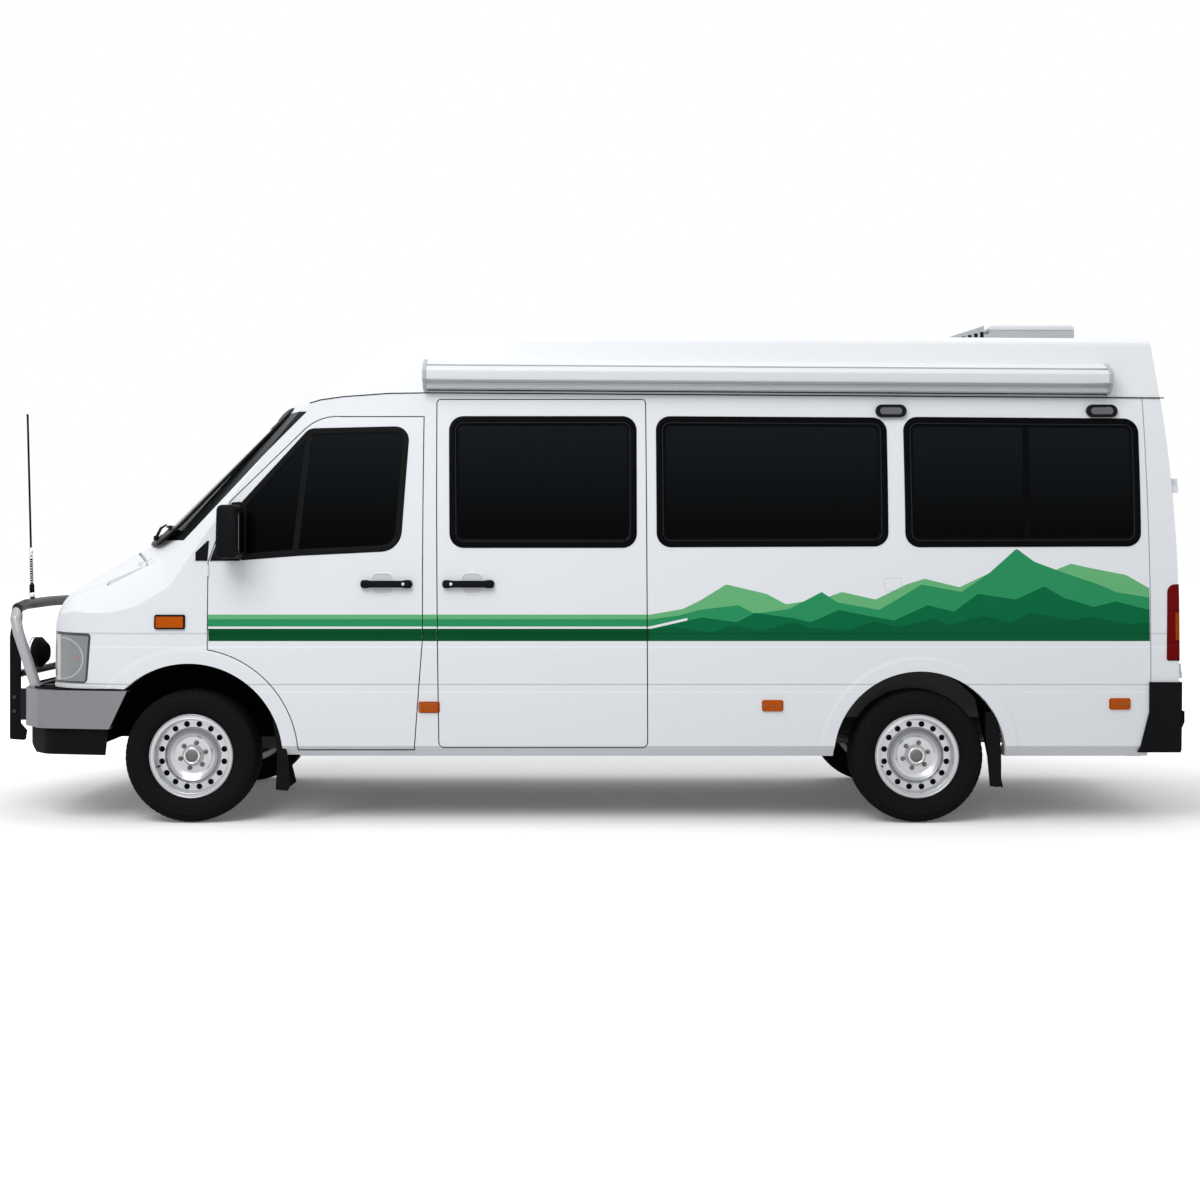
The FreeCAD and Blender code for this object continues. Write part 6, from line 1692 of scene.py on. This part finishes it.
@dataclass
class Underbody(Assembly):
    """Chassis, axles, driveline, exhaust, tank, liners and the mud flaps' moulded flanges."""

    finishes = {
        "wheel_liners": LINER, "chassis_frame": CHASSIS, "knuckle_left": CASTING, "knuckle_right": CASTING,
        "front_axle": CHASSIS, "rear_axle": CHASSIS, "powertrain": CASTING, "exhaust": CASTING,
        "fuel_tank": BLACK}
    front_flap: tuple = ((-1.744, 0.600), (-1.716, 0.604), (-1.678, 0.500), (-1.657, 0.360), (-1.648, 0.200),
                         (-1.660, 0.182), (-1.724, 0.190), (-1.715, 0.360), (-1.728, 0.500))
    rear_flap: tuple = ((2.196, 0.620), (2.250, 0.614), (2.272, 0.520), (2.283, 0.400), (2.284, 0.216),
                        (2.270, 0.202), (2.222, 0.207), (2.212, 0.320), (2.202, 0.420), (2.196, 0.520))

    def build(self) -> None:
        """Adds the flanges at the outer edges of the mud flaps."""
        for side in Side:
            for name, corners, low, high in (("front", self.front_flap, 0.925, 0.942),
                                             ("rear", self.rear_flap, 0.925, 0.938)):
                outline = rounded_outline(corners, 0.005, 4)
                flange = add_plate(f"mud_flap_{name}_{side.word}", outline, low, high, across(side), 0.003)
                fit(flange, RUBBER, "body")


@dataclass
class Studio:
    """A plain white floor, soft lamps and the camera at the photograph's place."""

    camera_place: tuple = (0.067, -10.141, 1.540)
    lens: float = 50.0
    shift: float = -0.0458
    fill: float = 0.63
    floor_half: float = 60.0
    floor_shade: float = 0.60
    near_glow: float = 0.08
    far_glow: float = 0.55
    glow_stretch: float = 1.8
    glow_reach: tuple = (1.75, 4.2)
    lamps: tuple = (("key", (-4.0, -8.6, 9.6), (0.0, 0.0, 1.2), 7.0, 740.0),
                    ("top", (1.0, 0.5, 9.0), (0.3, 0.0, 0.0), 9.0, 215.0))

    def floor(self) -> None:
        """A pale floor that shows white to the camera and keeps the van's shadow.

        Its glow grows from near the van to far from it, with the distance sqrt((x / stretch)^2 + y^2).
        """
        half = self.floor_half
        corners = [(-half, -half, 0), (half, -half, 0), (half, half, 0), (-half, half, 0)]
        shape = add_mesh("studio_floor", corners, [[0, 1, 2, 3]], smooth=False)
        material = bpy.data.materials.new("studio floor white")
        material.use_nodes = True
        graph = Graph(material.node_tree)
        shader = material.node_tree.nodes["Principled BSDF"]
        camera_ray = graph.add("ShaderNodeLightPath").outputs["Is Camera Ray"]
        graph.link(graph.blend(camera_ray, (self.floor_shade,) * 3, (1.0, 1.0, 1.0)), shader, "Base Color")
        shader.inputs["Roughness"].default_value = 0.9
        shader.inputs["Specular IOR Level"].default_value = 0.0
        x, y, _ = graph.axes()
        away = graph.length(graph.math("DIVIDE", x, self.glow_stretch), y)
        far = graph.times(graph.ramp(away, *self.glow_reach), self.far_glow - self.near_glow)
        shader.inputs["Emission Color"].default_value = (1.0, 1.0, 1.0, 1.0)
        glow = graph.times(self.seen(graph), graph.plus(far, self.near_glow))
        graph.link(glow, shader, "Emission Strength")
        shape.data.materials.append(material)

    @staticmethod
    def seen(graph: Graph) -> Socket:
        """1 for camera, glossy and transmitted rays, and 0 for the rest."""
        rays = graph.add("ShaderNodeLightPath").outputs
        first = graph.plus(rays["Is Camera Ray"], rays["Is Glossy Ray"])
        return graph.math("ADD", first, rays["Is Transmission Ray"], True)

    def world(self) -> None:
        """White as seen by the camera and in gloss and glass, and an even fill for the rest."""
        world = bpy.data.worlds.new("studio")
        world.use_nodes = True
        bpy.context.scene.world = world
        graph = Graph(world.node_tree)
        background = world.node_tree.nodes["Background"]
        background.inputs["Color"].default_value = (1.0, 1.0, 1.0, 1.0)
        lift = graph.times(self.seen(graph), 1.0 - self.fill)
        graph.link(graph.plus(lift, self.fill), background, "Strength")

    @staticmethod
    def lamp(name: str, place: tuple, target: tuple, size: float, power: float) -> None:
        """A soft square lamp that looks at a point."""
        data = bpy.data.lights.new(name, "AREA")
        data.energy = power
        data.size = size
        lamp = bpy.data.objects.new(name, data)
        bpy.context.scene.collection.objects.link(lamp)
        lamp.location = place
        aim = np.subtract(target, place)
        flat = math.hypot(aim[0], aim[1])
        lamp.rotation_euler = (math.atan2(flat, -aim[2]), 0.0, math.atan2(-aim[0], aim[1]))

    def build(self) -> None:
        """Sets up the floor, world, lamps and camera."""
        self.floor()
        self.world()
        for row in self.lamps:
            self.lamp(*row)
        scene = bpy.context.scene
        data = bpy.data.cameras.new("camera")
        data.lens = self.lens
        data.shift_y = self.shift
        data.clip_end = 200.0
        camera = bpy.data.objects.new("camera", data)
        scene.collection.objects.link(camera)
        camera.location = self.camera_place
        camera.rotation_euler = (math.radians(90), 0.0, 0.0)
        scene.camera = camera
        scene.view_settings.view_transform = "Standard"


def main() -> None:
    """Builds and dresses the whole van."""
    logging.basicConfig(level=logging.INFO, format="%(message)s")
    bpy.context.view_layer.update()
    for part in (BodyShell(), SideWindows(), FrontEnd(), SideTrim(), RearEnd(), Inside(), Underbody()):
        part.dress()
        part.build()
        log.info("%s done", type(part).__name__)
    for place, x in (("front", FRONT_AXLE_X), ("rear", REAR_AXLE_X)):
        for side in Side:
            Wheel(place, side, x).build()
    Studio().build()


if __name__ == "__main__":
    main()
